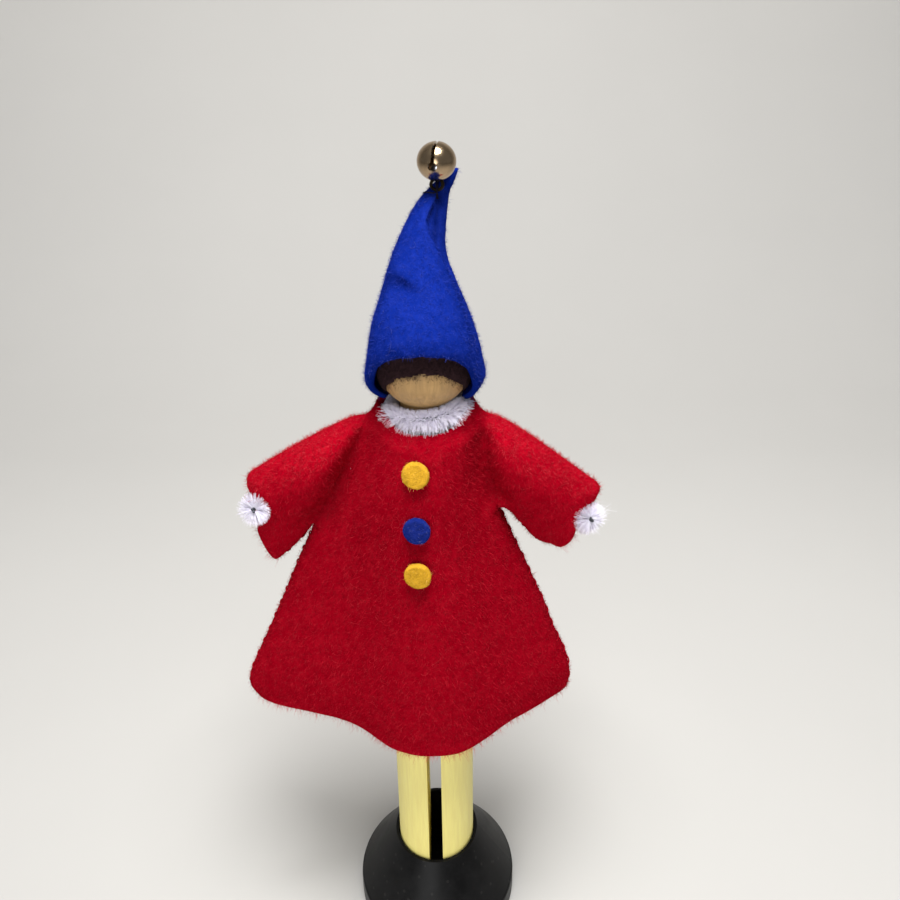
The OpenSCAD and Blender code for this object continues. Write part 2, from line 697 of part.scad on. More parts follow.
// Stitches climb the seam at the back of the hat.
hat_seam_share = 0.8;
module hat_stitches() {
    count = floor(hat_h * hat_seam_share / stitch_pitch);
    color("#0d2276")
    for (k = [0:count - 1]) {
        t = hat_seam_share * (k + 0.5) / count;
        translate(hat_point(t, 90, false) - [0, felt_t / 2, 0])
        rotate_extrude($fn = 48)
        translate([felt_t / 2 + thread_d / 2, 0])
        circle(r = thread_d / 2, $fn = 24);
    }
}

// The bell stands on its loop, which a thread ties to the front of the hat's point.
bell_side_share = 0.42;
bell_loop_z_share = 0.945;
bell_yaw = 12;
bell_nod = 3;
bell_r = bell_d / 2;
bell_lift_share = 0.75;
bell_up = bell_r + bell_loop_r * bell_lift_share;
function bell_place() =
    let (low = bell_loop_z_share - (bell_loop_r + bell_loop_wire_d / 2) / hat_h,
         front = hat_middle(low)[1] - brim_r * lookup(low, hat_width_shares))
    [hat_lean * bell_side_share, front - bell_loop_wire_d / 2 - soft_gap,
     hat_middle(bell_loop_z_share)[2]];
module at_bell_loop() {
    translate(bell_place())
    rotate([bell_nod, 0, 0])
    children();
}
module at_bell() {
    at_bell_loop()
    translate([0, 0, bell_up])
    children();
}
module bell_shell() {
    color("#c9b27e")
    at_bell()
    difference() {
        sphere(r = bell_r, $fn = 64);
        sphere(r = bell_r - bell_wall, $fn = 64);
        rotate([0, 0, -bell_yaw])
        union() {
            translate([-bell_slot_w / 2, -bell_d, 0])
            cube([bell_slot_w, 2 * bell_d, bell_d]);
            rotate([90, 0, 0])
            cylinder(d = bell_hole_d, h = 2 * bell_d, center = true, $fn = 32);
        }
    }
}
module bell_loop() {
    color("#b59c66")
    difference() {
        at_bell_loop()
        rotate([90, 0, 0])
        rotate_extrude($fn = 48)
        translate([bell_loop_r, 0])
        circle(d = bell_loop_wire_d, $fn = 24);
        at_bell()
        sphere(r = bell_r, $fn = 64);
    }
}
module bell_pellet() {
    nest = bell_r - bell_wall - pellet_d / 2 - soft_gap;
    color("#8f8f94")
    at_bell()
    translate([0, 0, -nest])
    sphere(d = pellet_d, $fn = 48);
}
thread_ring_r = 1.25;
thread_back_share = 0.4;
thread_low_share = 0.8;
module bell_thread() {
    color("#15173a")
    translate(bell_place()
              + thread_ring_r * [0, thread_back_share, -thread_low_share])
    rotate([0, 90, 0])
    rotate_extrude($fn = 48)
    translate([thread_ring_r, 0])
    circle(d = thread_d, $fn = 24);
}

stand();
peg();
hair();
coat();
side_stitches_left();
side_stitches_right();
button_top();
button_middle();
button_bottom();
neck_wrap_wire();
neck_wrap_pile();
collar_wire();
collar_pile();
left_sleeve();
left_sleeve_stitches();
left_arm_wire();
left_arm_pile();
right_sleeve();
right_sleeve_stitches();
right_arm_wire();
right_arm_pile();
hat();
hat_stitches();
bell_thread();
bell_shell();
bell_loop();
bell_pellet();
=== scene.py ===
"""A peg doll in a felt coat and hat, standing on a round base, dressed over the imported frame.

Lengths in the code are millimetres, in the frame of the solids: +Z is up, the doll faces -Y and
its left is +X. Meshes are made in metres.
"""

import json
import math

import bpy
import numpy as np
from bpy.props import FloatProperty, FloatVectorProperty, IntProperty, PointerProperty
from mathutils import Euler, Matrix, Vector, noise
from mathutils.geometry import delaunay_2d_cdt
from mathutils.kdtree import KDTree


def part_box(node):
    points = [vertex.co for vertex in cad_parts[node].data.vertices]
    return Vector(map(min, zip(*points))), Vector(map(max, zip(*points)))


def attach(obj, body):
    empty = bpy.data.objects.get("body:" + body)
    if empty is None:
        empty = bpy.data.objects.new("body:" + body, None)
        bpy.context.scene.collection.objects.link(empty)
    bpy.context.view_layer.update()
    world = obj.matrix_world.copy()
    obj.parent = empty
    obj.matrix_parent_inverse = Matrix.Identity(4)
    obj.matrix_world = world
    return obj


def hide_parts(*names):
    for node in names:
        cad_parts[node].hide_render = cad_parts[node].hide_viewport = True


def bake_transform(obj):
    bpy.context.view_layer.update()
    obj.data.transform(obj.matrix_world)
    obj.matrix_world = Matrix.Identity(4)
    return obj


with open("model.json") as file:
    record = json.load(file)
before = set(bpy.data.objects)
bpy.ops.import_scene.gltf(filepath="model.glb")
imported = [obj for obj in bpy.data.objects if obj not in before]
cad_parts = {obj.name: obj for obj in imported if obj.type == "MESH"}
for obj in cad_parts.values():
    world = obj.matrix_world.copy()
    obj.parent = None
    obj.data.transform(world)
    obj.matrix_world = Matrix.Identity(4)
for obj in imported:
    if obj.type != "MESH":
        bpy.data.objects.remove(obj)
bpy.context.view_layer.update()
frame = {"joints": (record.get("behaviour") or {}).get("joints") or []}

bl_info = {
    "name": "Felt Peg Doll",
    "version": (1, 0, 0),
    "blender": (4, 5, 0),
    "location": "3D View > Sidebar > Peg Doll",
    "description": "Dresses a turned peg in felt, chenille and a small bell",
    "category": "Add Mesh",
}

MM = 0.001
UP = np.array([0.0, 0.0, 1.0])
# The doll's two sides, as the sign of X
ARMS = {1: "left_arm", -1: "right_arm"}


# ---------------------------------------------------------------- small sums


def lerp(a, b, t):
    return a + (b - a) * t


def ease(t):
    t = np.clip(t, 0.0, 1.0)
    return t * t * (3 - 2 * t)


def look_up(pairs, t):
    return np.interp(t, [p[0] for p in pairs], [p[1] for p in pairs])


def eased_look_up(pairs, x, far, near):
    """Read a table with its corners rounded off over these distances."""
    return sum(look_up(pairs, x + d) for d in (-far, -near, 0, near, far)) / 5


def unit(v):
    return v / np.maximum(np.linalg.norm(v, axis=-1, keepdims=True), 1e-9)


def cos_sin(degrees):
    return math.cos(math.radians(degrees)), math.sin(math.radians(degrees))


def around(a, across, up):
    """Directions at angles a, from across towards up."""
    return across * np.cos(a)[:, None] + up * np.sin(a)[:, None]


def any_turn(count, across, up, rng):
    """Random directions in the plane of across and up."""
    return around(rng.random(count) * 2 * math.pi, across, up)


def left_of(way):
    """Flat directions turned a quarter to the left."""
    return np.stack([-way[:, 1], way[:, 0]], axis=1)


def half_round(x, radius):
    """How far a round bar of this radius stands out at x from its middle."""
    return np.sqrt(np.maximum(radius**2 - x**2, 0))


def noise_at(points, scale):
    return np.array([noise.noise(Vector(p) * scale) for p in points])


def in_mm(low_high):
    return [np.array(v) / MM for v in low_high]


def joint_place(side):
    """The place of an arm's joint, in metres as in the frame."""
    return np.array(next(j for j in frame["joints"] if j["child"] == ARMS[side])["pos_m"])


def srgb(*rgb):
    """A colour as a picture program writes it, 0 to 255, turned into Blender's linear numbers."""
    shares = (value / 255 for value in rgb)
    return tuple(c / 12.92 if c <= 0.04045 else ((c + 0.055) / 1.055) ** 2.4 for c in shares)


def smooth_path(points, step):
    """Points evenly about `step` apart on a smooth curve through the given ones."""
    p = np.array(points, float)
    ends = np.vstack([2 * p[0] - p[1], p, 2 * p[-1] - p[-2]])
    fine = []
    for k in range(len(p) - 1):
        a, b, c, d = ends[k : k + 4]
        for t in np.linspace(0, 1, 16, endpoint=False):
            fine.append(0.5 * (2 * b + (c - a) * t + (2 * a - 5 * b + 4 * c - d) * t**2
                               + (3 * b - a - 3 * c + d) * t**3))
    fine = np.array(fine + [p[-1]])
    run = run_along(fine)
    count = max(2, int(round(run[-1] / step)) + 1)
    at = np.linspace(0, run[-1], count)
    return np.stack([np.interp(at, run, fine[:, k]) for k in range(p.shape[1])], axis=1)


def run_along(path):
    """Length of a polyline up to each of its points."""
    return np.concatenate([[0], np.cumsum(np.linalg.norm(np.diff(path, axis=0), axis=1))])


def stitch_places(length, pitch):
    """Even places for stitches along a seam, clear of its ends."""
    stitched = length - 2 * SEAM_END
    count = int(stitched / pitch)
    return SEAM_END + stitched * (np.arange(count) + 0.5) / count


def path_distance(points, path):
    """How far each point is from a polyline."""
    best = np.full(len(points), 1e9)
    for a, b in zip(path[:-1], path[1:]):
        run = b - a
        t = np.clip(((points - a) @ run) / max(run @ run, 1e-12), 0, 1)
        best = np.minimum(best, np.linalg.norm(points - (a + t[:, None] * run), axis=1))
    return best


def inside_outline(points, outline):
    """Which points are inside a closed outline."""
    inside = np.zeros(len(points), bool)
    x, z = points[:, 0], points[:, 1]
    for a, b in zip(outline, np.roll(outline, -1, axis=0)):
        crosses = (a[1] > z) != (b[1] > z)
        slope = (b[0] - a[0]) / (b[1] - a[1] if b[1] != a[1] else 1e-12)
        inside ^= crosses & (x < a[0] + (z - a[1]) * slope)
    return inside


def vertex_normals(points, faces):
    out = np.zeros_like(points)
    a, b, c = (points[faces[:, k]] for k in range(3))
    n = np.cross(b - a, c - a)
    for k in range(3):
        np.add.at(out, faces[:, k], n)
    return unit(out)


def lumps(points, size, seed):
    """Smooth unevenness from -1 to 1 at each point."""
    shift = Vector((seed * 7.1, seed * 3.3, seed * 5.7))
    return np.array([noise.noise(Vector(p) / size + shift) for p in points])


# ---------------------------------------------------------------- sizes and colours


def size_setting(name, description, default, low, high):
    return FloatProperty(name=name, description=description, default=default, min=low, max=high)


def count_setting(name, description, default, low, high):
    return IntProperty(name=name, description=description, default=default, min=low, max=high)


def colour_setting(name, description, *rgb):
    return FloatVectorProperty(name=name, description=description, subtype="COLOR",
                               default=srgb(*rgb))


class FeltSizes(bpy.types.PropertyGroup):
    """Sizes of the felt, in millimetres."""

    thickness: size_setting("Thickness", "Thickness of the felt", 1.0, 0.6, 1.2)
    mesh_step: size_setting("Mesh step", "Distance between points on the felt", 0.65, 0.5, 1.5)
    fold_radius: size_setting("Fold radius", "How round the top folds are", 5.5, 2.0, 7.0)
    fibre_length: size_setting("Fibre length", "Length of a loose fibre", 0.68, 0.3, 3.0)
    fibre_width: size_setting("Fibre width", "Width of a loose fibre", 0.042, 0.015, 0.1)
    fibres_per_cm2: count_setting("Fibres", "Loose fibres on a square centimetre", 1400, 0, 3000)
    stitch_pitch: size_setting("Stitch pitch", "Distance between stitches", 2.7, 1.5, 5.0)
    thread_width: size_setting("Thread", "Thickness of the sewing thread", 0.28, 0.2, 0.6)


class ChenilleSizes(bpy.types.PropertyGroup):
    """Sizes of the chenille stems, in millimetres."""

    collar_strands: count_setting("Collar strands", "Strands in the collar's pile", 8600, 300, 9000)
    hand_strands: count_setting("Hand strands", "Strands in each hand's pile", 1500, 100, 4000)
    strand_width: size_setting("Strand width", "Width of a strand at its foot", 0.078, 0.05, 0.2)
    hand_radius: size_setting("Hand radius", "Reach of the pile at the hands", 3.15, 2.0, 3.6)


class DollColours(bpy.types.PropertyGroup):
    """Colours of the doll's materials."""

    red_felt: colour_setting("Coat", "Colour of the coat's felt", 147, 1, 22)
    blue_felt: colour_setting("Hat", "Colour of the hat's felt", 11, 33, 120)
    yellow_felt: colour_setting("Yellow buttons", "Colour of two buttons", 205, 155, 42)
    button_blue: colour_setting("Blue button", "Colour of one button", 22, 37, 112)
    chenille: colour_setting("Chenille", "Colour of the chenille's pile", 237, 231, 250)
    bare_wood: colour_setting("Bare wood", "Colour of the head", 183, 145, 91)
    painted_wood: colour_setting("Painted wood", "Colour of the legs", 254, 238, 142)
    stand_black: colour_setting("Stand", "Colour of the stand's paint", 12, 12, 13)
    hair: colour_setting("Hair", "Colour of the wool hair", 55, 37, 40)
    bell: colour_setting("Bell", "Colour of the bell's metal", 178, 154, 124)
    dark_thread: colour_setting("Bell's thread", "Colour of the bell's thread", 24, 22, 34)
    pellet: colour_setting("Pellet", "Colour of the bell's pellet", 150, 150, 155)
    floor: colour_setting("Floor", "Colour of the floor", 196, 194, 190)


class StudioSettings(bpy.types.PropertyGroup):
    """Camera and lamps."""

    lens: size_setting("Lens", "Focal length on a 36 mm sensor", 36.08, 10, 200)
    pitch: FloatProperty(name="Pitch", description="How far the camera looks down",
                         subtype="ANGLE", default=math.radians(23.2))
    roll: FloatProperty(name="Roll", description="How far the camera leans",
                        subtype="ANGLE", default=math.radians(0.76))
    place: FloatVectorProperty(name="Place", description="The camera's place, in millimetres",
                               default=(3.77, -115.5, 170.0))
    axis_row: size_setting("Axis row", "Share of the frame's height from its middle up to the "
                           "camera's axis", 1 / 6, 0, 0.5)
    key_power: size_setting("Key", "Power of the key lamp, in watts", 2.4, 0, 100)
    fill_power: size_setting("Fill", "Power of the fill lamp, in watts", 5.6, 0, 100)
    sky: size_setting("Sky", "Strength of the even light all round", 0.2, 0, 10)


GROUPS = {
    "doll_felt": FeltSizes,
    "doll_chenille": ChenilleSizes,
    "doll_colours": DollColours,
    "doll_studio": StudioSettings,
}


def felt_sizes():
    return bpy.context.scene.doll_felt


def colours():
    return bpy.context.scene.doll_colours


# ---------------------------------------------------------------- meshes and materials


def make_piece(name, points, faces, materials, normals=None, smooth=True, first=(0,)):
    """A mesh object from millimetre points, at the origin. first has each material's first face."""
    mesh = bpy.data.meshes.new(name)
    mesh.from_pydata((np.asarray(points) * MM).tolist(), [],
                     faces.tolist() if isinstance(faces, np.ndarray) else faces)
    for material in materials if isinstance(materials, (list, tuple)) else (materials,):
        mesh.materials.append(material)
    if len(first) > 1:
        index = np.searchsorted(first, np.arange(len(mesh.polygons)), side="right") - 1
        mesh.polygons.foreach_set("material_index", index)
    if smooth:
        mesh.shade_smooth()
    if normals is not None:
        mesh.normals_split_custom_set_from_vertices(normals.tolist())
    mesh.validate(clean_customdata=False)
    mesh.update()
    piece = bpy.data.objects.new(name, mesh)
    bpy.context.scene.collection.objects.link(piece)
    return piece


def dress(node, material):
    """Give a solid of the frame a better material."""
    solid = bpy.data.objects[node]
    if not solid.material_slots:
        solid.data.materials.append(material)
    for place in solid.material_slots:
        place.material = material


class Nodes:
    """A node tree and the few calls that fill it. Each input takes a value or an output."""

    def __init__(self, tree):
        self.tree = tree

    def put(self, value, socket):
        if isinstance(value, bpy.types.NodeSocket):
            self.tree.links.new(value, socket)
        else:
            socket.default_value = value

    def node(self, kind, inputs, **settings):
        """A new node's outputs, with its settings and inputs filled in."""
        node = self.tree.nodes.new("ShaderNode" + kind)
        for name, value in settings.items():
            setattr(node, name, value)
        for key, value in inputs.items():
            self.put(value, node.inputs[key])
        return node.outputs

    def math(self, operation, a, b):
        return self.node("Math", {0: a, 1: b}, operation=operation)[0]

    def stretched(self, place, *shares):
        return self.node("VectorMath", {0: place, 1: shares}, operation="MULTIPLY")[0]

    def noise(self, place, scale, detail=4.0, rough=0.6, distortion=0.0):
        return self.node("TexNoise", {"Vector": place, "Scale": scale, "Detail": detail,
                                      "Roughness": rough, "Distortion": distortion})["Fac"]

    def range(self, value, low, high, to_low=0.0, to_high=1.0):
        return self.node("MapRange", {"Value": value, "From Min": low, "From Max": high,
                                      "To Min": to_low, "To Max": to_high})["Result"]

    def mix(self, mask, *ends):
        """A colour between two, by a mask. Each is a colour or an output."""
        low, high = (e if isinstance(e, bpy.types.NodeSocket) else (*e, 1) for e in ends)
        return self.node("Mix", {"Factor": mask, "A": low, "B": high}, data_type="RGBA")["Result"]


class Shader(Nodes):
    """A material being made. Sockets are named with _ for a space."""

    def __init__(self, name, **sockets):
        self.material = bpy.data.materials.new(name)
        self.material.use_nodes = True
        super().__init__(self.material.node_tree)
        self.shader = self.tree.nodes["Principled BSDF"]
        # Object coordinates in millimetres
        self.place = self.node("VectorMath", {0: self.node("TexCoord", {})["Object"],
                                              "Scale": 1 / MM}, operation="SCALE")[0]
        self.shade(**sockets)

    def shade(self, **sockets):
        for name, value in sockets.items():
            self.put(value, self.shader.inputs[name.replace("_", " ")])

    def group(self, tree, size, coarse_size):
        """A node group's outputs, at these sizes of its fine and its coarse pattern."""
        return self.node("Group", {"Place": self.place, "Fine Size": size,
                                   "Coarse Size": coarse_size}, node_tree=tree)

    def finish(self, height, distance):
        """Raise the surface by a height, and give the material."""
        bump = self.node("Bump", {"Height": height, "Distance": distance * MM, "Strength": 1.0})
        self.shade(Normal=bump["Normal"])
        return self.material


def tinted(colour, share):
    return tuple(min(1.0, c * share) for c in colour[:3])


def paler(colour, share):
    return tuple(lerp(c, 1.0, share) for c in colour[:3])


def node_group(name, fill):
    """The node group of this name. fill makes its outputs from its inputs the first time."""
    tree = bpy.data.node_groups.get(name)
    if tree is None:
        tree = bpy.data.node_groups.new(name, "ShaderNodeTree")
        tree.interface.new_socket("Place", in_out="INPUT", socket_type="NodeSocketVector")
        for label in ("Fine Size", "Coarse Size"):
            size = tree.interface.new_socket(label, in_out="INPUT", socket_type="NodeSocketFloat")
            size.default_value = 1.0
        nodes, into = Nodes(tree), tree.nodes.new("NodeGroupInput").outputs
        fine, coarse = (nodes.math("DIVIDE", 1.0, into[s]) for s in ("Fine Size", "Coarse Size"))
        results = fill(nodes, into["Place"], fine, coarse)
        for label in results:
            tree.interface.new_socket(label, in_out="OUTPUT", socket_type="NodeSocketFloat")
        out = tree.nodes.new("NodeGroupOutput")
        for label, value in results.items():
            nodes.put(value, out.inputs[label])
    return tree


def matted_fibres(nodes, place, fine, coarse):
    """Fine strokes in three directions over soft clumps."""
    strokes = None
    for turn, stretch in ((0.5, 7.0), (1.7, 9.0), (2.6, 6.0)):
        spin = nodes.node("Mapping", {"Vector": place,
                                      "Rotation": (turn * 1.3, turn, turn * 0.7)})[0]
        grain = nodes.noise(nodes.stretched(spin, 1.0, 1.0 / stretch, 1.0),
                            nodes.math("MULTIPLY", fine, 0.35), 2.0, 0.55, 0.7)
        strokes = grain if strokes is None else nodes.math("MAXIMUM", strokes, grain)
    clumps = nodes.noise(place, coarse, 3.0, 0.5)
    height = nodes.math("ADD", nodes.math("MULTIPLY", strokes, 0.7),
                        nodes.math("MULTIPLY", clumps, 0.5))
    return {"Fibres": strokes, "Clumps": clumps, "Height": height}


def specks_and_scuffs(nodes, place, fine, coarse):
    """Dust specks and fine scuffs on a hard surface."""
    cells = nodes.node("TexVoronoi", {"Vector": place, "Scale": fine})
    specks = nodes.math("LESS_THAN", cells["Distance"], 0.16)
    scuffs = nodes.noise(place, coarse, 5.0, 0.7)
    height = nodes.math("ADD", scuffs, nodes.math("MULTIPLY", specks, 0.2))
    return {"Specks": specks, "Scuffs": scuffs, "Height": height}


def felt_material(name, colour, depth=0.11, fibre=0.15, sheen=0.1, dark=0.8):
    s = Shader(name, Roughness=0.96, Sheen_Weight=sheen, Sheen_Roughness=0.6,
               Specular_IOR_Level=0.0, Sheen_Tint=(*tinted(colour, 2.0), 1))
    g = s.group(node_group("Matted fibres", matted_fibres), fibre, 1.5)
    fine = s.range(g["Fibres"], 0.42, 0.78)
    low = s.mix(fine, tinted(colour, dark), tinted(colour, 1.04))
    high = s.mix(fine, tinted(colour, 0.93), tinted(paler(colour, 0.004), 1.24))
    s.shade(Base_Color=s.mix(s.range(g["Clumps"], 0.36, 0.66), low, high),
            Roughness=s.range(g["Fibres"], 0.4, 0.8, 0.98, 0.82))
    return s.finish(g["Height"], depth)


def fibre_material(name, colour, share=0.012, gain=1.36):
    """Loose fibres, each a little paler or darker than the felt."""
    s = Shader(name, Roughness=0.9, Specular_IOR_Level=0.03)
    mask = s.range(s.noise(s.place, 1.7, 2.0), 0.35, 0.7)
    s.shade(Base_Color=s.mix(mask, tinted(colour, 1.1), tinted(paler(colour, share), gain)))
    return s.finish(s.noise(s.place, 14.0), 0.02)


def thread_material(name, colour):
    s = Shader(name, Roughness=0.85, Specular_IOR_Level=0.05)
    ply = s.node("TexWave", {"Vector": s.place, "Scale": 1.6, "Distortion": 1.2},
                 wave_type="BANDS", bands_direction="DIAGONAL")["Fac"]
    s.shade(Base_Color=s.mix(ply, tinted(colour, 0.8), tinted(colour, 1.25)))
    return s.finish(ply, 0.02)


def chenille_material(colour):
    s = Shader("white_chenille_pile", Roughness=0.5, Sheen_Weight=0.5, Specular_IOR_Level=0.35)
    mask = s.range(s.noise(s.place, 1.3, 3.0), 0.3, 0.65)
    s.shade(Base_Color=s.mix(mask, tinted(colour, 0.9), tinted(paler(colour, 0.5), 1.0)),
            Roughness=s.range(s.noise(s.place, 6.0), 0.3, 0.7, 0.4, 0.7))
    return s.finish(s.noise(s.place, 20.0), 0.02)


def wire_material():
    s = Shader("stem_wire_metal", Metallic=0.9, Roughness=0.4)
    s.shade(Base_Color=s.mix(s.noise(s.place, 3.0), (0.02, 0.022, 0.028), (0.16, 0.17, 0.19)),
            Roughness=s.range(s.noise(s.place, 8.0), 0.3, 0.7, 0.28, 0.55))
    return s.finish(s.noise(s.place, 10.0), 0.02)


def hair_material(colour):
    s = Shader("dark_wool", Roughness=0.95, Specular_IOR_Level=0.08)
    g = s.group(node_group("Matted fibres", matted_fibres), 0.16, 1.1)
    s.shade(Base_Color=s.mix(s.range(g["Fibres"], 0.4, 0.8), tinted(colour, 0.45),
                             tinted(colour, 1.35)))
    return s.finish(g["Height"], 0.2)


def peg_material(bare, painted, paint_top):
    """Bare turned wood above a line, and pale painted wood below it."""
    s = Shader("turned_peg", Roughness=0.5, Coat_Weight=0.08, Coat_Roughness=0.4)
    along = s.stretched(s.place, 1.0, 1.0, 0.07)
    grain, fine = s.noise(along, 1.5, 5.0, 0.6, 0.6), s.noise(along, 6.0, 3.0)
    rings = s.noise(s.stretched(s.place, 0.25, 0.25, 2.2), 1.0, 3.0, 0.5)
    wood = s.mix(s.range(grain, 0.35, 0.68), tinted(bare, 0.8), tinted(bare, 1.14))
    wood = s.mix(s.range(rings, 0.45, 0.75, 0.0, 0.5), wood, tinted(bare, 0.86))
    paint = s.mix(s.range(grain, 0.4, 0.7), tinted(painted, 0.93), tinted(painted, 1.05))
    patch = s.range(s.noise(s.place, 0.22, 3.0), 0.4, 0.75, 0.0, 0.35)
    paint = s.mix(patch, paint, tinted(painted, 0.93))
    z = s.node("SeparateXYZ", {0: s.place})["Z"]
    s.shade(Base_Color=s.mix(s.range(z, paint_top - 0.5, paint_top + 0.5), paint, wood),
            Roughness=s.range(fine, 0.3, 0.7, 0.4, 0.58))
    return s.finish(fine, 0.035)


def stand_material(colour):
    """Satin black paint, duller where it is scuffed, with a little dust."""
    s = Shader("satin_black_paint", Roughness=0.4, Specular_IOR_Level=0.14)
    g = s.group(node_group("Specks and scuffs", specks_and_scuffs), 1.6, 5.0)
    base = s.mix(s.range(g["Scuffs"], 0.4, 0.75), tinted(colour, 0.8),
                 tinted(paler(colour, 0.004), 1.2))
    dust = s.range(g["Specks"], 0.0, 1.0, 0.0, 0.06)
    s.shade(Base_Color=s.mix(dust, base, (0.16, 0.15, 0.14)),
            Roughness=s.range(g["Scuffs"], 0.3, 0.75, 0.34, 0.5))
    return s.finish(g["Height"], 0.012)


def metal_material(name, colour, dull):
    s = Shader(name, Metallic=1.0, Roughness=0.18)
    g = s.group(node_group("Specks and scuffs", specks_and_scuffs), 0.6, 1.6)
    s.shade(Base_Color=s.mix(s.range(g["Scuffs"], 0.35, 0.75), tinted(colour, 1.08),
                             tinted(colour, 0.72)),
            Roughness=s.range(g["Scuffs"], 0.3, 0.8, dull * 0.6, dull * 1.5))
    return s.finish(g["Height"], 0.012)


def floor_material(colour):
    s = Shader("pale_floor", Roughness=0.75, Specular_IOR_Level=0.2)
    s.shade(Base_Color=s.mix(s.noise(s.place, 0.02, 2.0), tinted(colour, 0.98),
                             tinted(colour, 1.02)))
    return s.material


# ---------------------------------------------------------------- the garment's cut

HEM_Z = 49.5
NECK_R = 7.3
NECK_Z = 102.9
# How far the neck's edge stands from the middle, in front and behind
NECK_DEEP = {-1: 7.0, 1: 7.4}
# Corners of the coat seen from the front, as X and Z
SIDE_LEFT = [(22.5, 49.5), (23.1, 50.8), (22.9, 54.4), (21.8, 57.9), (20.1, 62.0), (18.5, 67.0),
             (16.9, 71.0), (15.1, 75.7), (13.4, 79.8), (12.1, 83.2), (10.8, 86.4)]
UNDER_LEFT = [(10.8, 86.4), (11.9, 86.0), (14.0, 83.3), (15.6, 81.1), (16.8, 79.9), (17.9, 79.3),
              (19.0, 79.2)]
CUFF_LEFT_FRONT = [(19.0, 79.2), (20.3, 79.4), (21.3, 80.3), (22.1, 81.9), (22.5, 84.2),
                   (23.0, 86.2), (24.0, 87.3), (25.2, 87.5), (26.1, 88.0)]
CUFF_LEFT_BACK = [(19.0, 79.2), (21.0, 80.1), (22.6, 82.3), (23.8, 85.0), (25.1, 86.8),
                  (26.1, 88.0)]
TOP_LEFT = [(26.1, 88.0), (26.4, 88.9), (25.9, 89.8), (24.5, 90.9), (19.2, 95.2), (15.05, 98.4),
            (11.0, 101.2), (9.0, 102.2), (7.9, 103.1), (7.3, 104.4)]
TOP_RIGHT = [(-7.3, 104.4), (-7.9, 103.2), (-9.0, 102.3), (-10.9, 101.7), (-14.85, 99.6),
             (-18.95, 97.3), (-23.1, 94.9), (-25.9, 93.1), (-27.0, 92.4), (-27.4, 91.6)]
CUFF_RIGHT_FRONT = [(-27.4, 91.6), (-27.0, 90.8), (-26.2, 89.8), (-25.3, 88.0), (-25.2, 86.0),
                    (-25.9, 83.8), (-25.4, 81.2), (-24.7, 79.0), (-23.7, 76.6)]
CUFF_RIGHT_BACK = [(-27.4, 91.6), (-27.2, 88.6), (-26.7, 85.4), (-25.9, 82.2), (-24.9, 79.2),
                   (-23.7, 76.6)]
UNDER_RIGHT = [(-23.7, 76.6), (-23.1, 77.3), (-22.2, 78.1), (-20.7, 79.6), (-19.4, 81.1),
               (-17.8, 83.2)]
SIDE_RIGHT = [(-17.8, 83.2), (-19.2, 80.0), (-20.65, 76.7), (-22.2, 72.9), (-24.2, 68.1),
              (-27.05, 61.4), (-29.4, 56.2), (-30.7, 52.8), (-30.8, 51.2), (-29.8, 49.5)]
ARMHOLE_TOP = {1: (9.0, 102.2), -1: (-9.0, 102.3)}
ARMHOLE_LOW = {1: SIDE_LEFT[-1], -1: SIDE_RIGHT[0]}
CUFF_MID = {1: (23.3, 85.0), -1: (-25.6, 84.6)}
# The valleys where the sleeves fold against the coat, and how deep they are
VALLEY = {1: [(8.2, 100.6), (8.3, 97.6), (8.6, 93.2), (10.2, 88.9)],
          -1: [(-8.3, 101.6), (-11.6, 94.2), (-14.0, 89.0), (-16.9, 84.6)]}
VALLEY_DEPTH = {1: 4.7, -1: 4.8}
VALLEY_WIDTH = {1: 1.4, -1: 1.6}
# How far the front of the hem stands forward, by X
HEM_FRONT = [(-30.9, 1.1), (-27.7, 3.2), (-24.1, 4.6), (-20.0, 5.5), (-16.0, 6.5), (-12.7, 7.9),
             (-10.0, 9.9), (-7.4, 12.3), (-4.7, 13.7), (-1.3, 14.5), (2.8, 14.3), (5.8, 13.3),
             (8.9, 11.1), (12.4, 8.1), (16.2, 5.8), (19.1, 3.8), (21.0, 2.4), (23.0, 1.1)]
HEM_BACK = [(-30.9, 1.1), (-26.0, 3.4), (-20.0, 4.9), (-14.0, 6.6), (-9.0, 9.4), (-5.0, 11.3),
            (0.0, 12.0), (5.0, 11.4), (9.0, 9.2), (14.0, 6.0), (19.0, 3.0), (23.0, 1.1)]
# How far the sides and the middle of the coat stand out, by level: 0 hem, 1 armhole, 2 neck
WING = [(0, 6.8), (1, 4.7), (1.35, 6.4), (2, 7.0)]
DEEP = {-1: [(0, 14.0), (1, 11.3), (1.5, 10.3), (2, 8.9)], 1: [(0, 12.0), (1, 9.8), (2, 8.9)]}
FOLD_REACH = [(0, 1), (1, 0.9), (2, 0.75)]
FOLD_WIDTH = 14.5
FOLD_X = 0.8
# How far the felt stands out beside a sewn edge, and how wide such an edge rounds over
EDGE_DEPTH = 1.1
EDGE_ROUND = 1.05
# What the felt lies over: the peg, the pile round its neck and the arms' wires with their pile
PEG_R = 6.75
PEG_TOP_Z = 97.4
WRAP_R = 6.5
WRAP_TOP_Z = 101.2
ARM_R = 1.45
# Half the width of a sleeve where it leaves the coat, and at its cuff
SLEEVE_ROOT = 5.4
SLEEVE_END = {1: 2.7, -1: 2.5}
# The folds over the shoulders are tighter than those along the sleeves
SHOULDER_X, SHOULDER_FOLD_R = 9.5, 3.4
# Rows of points beside the edges that curve, by their distance from the edge
EDGE_ROWS = {"sewn": (0.16, 0.55), "fold": (0.14, 0.5, 1.1, 1.8)}
TRIANGLE_HEIGHT = 0.866
# Where the points of a rounded rim lie between the outer and the inner face, in degrees
RIM_TURNS = (45, 90, 135)
# The bare end of a seam, and how far a stitch goes round its edge to either side, in degrees
SEAM_END = 0.8
STITCH_TURN = 132
# How far a stitch pulls the felt in, and over what width
STITCH_PULL, STITCH_WIDE = 0.32, 0.5
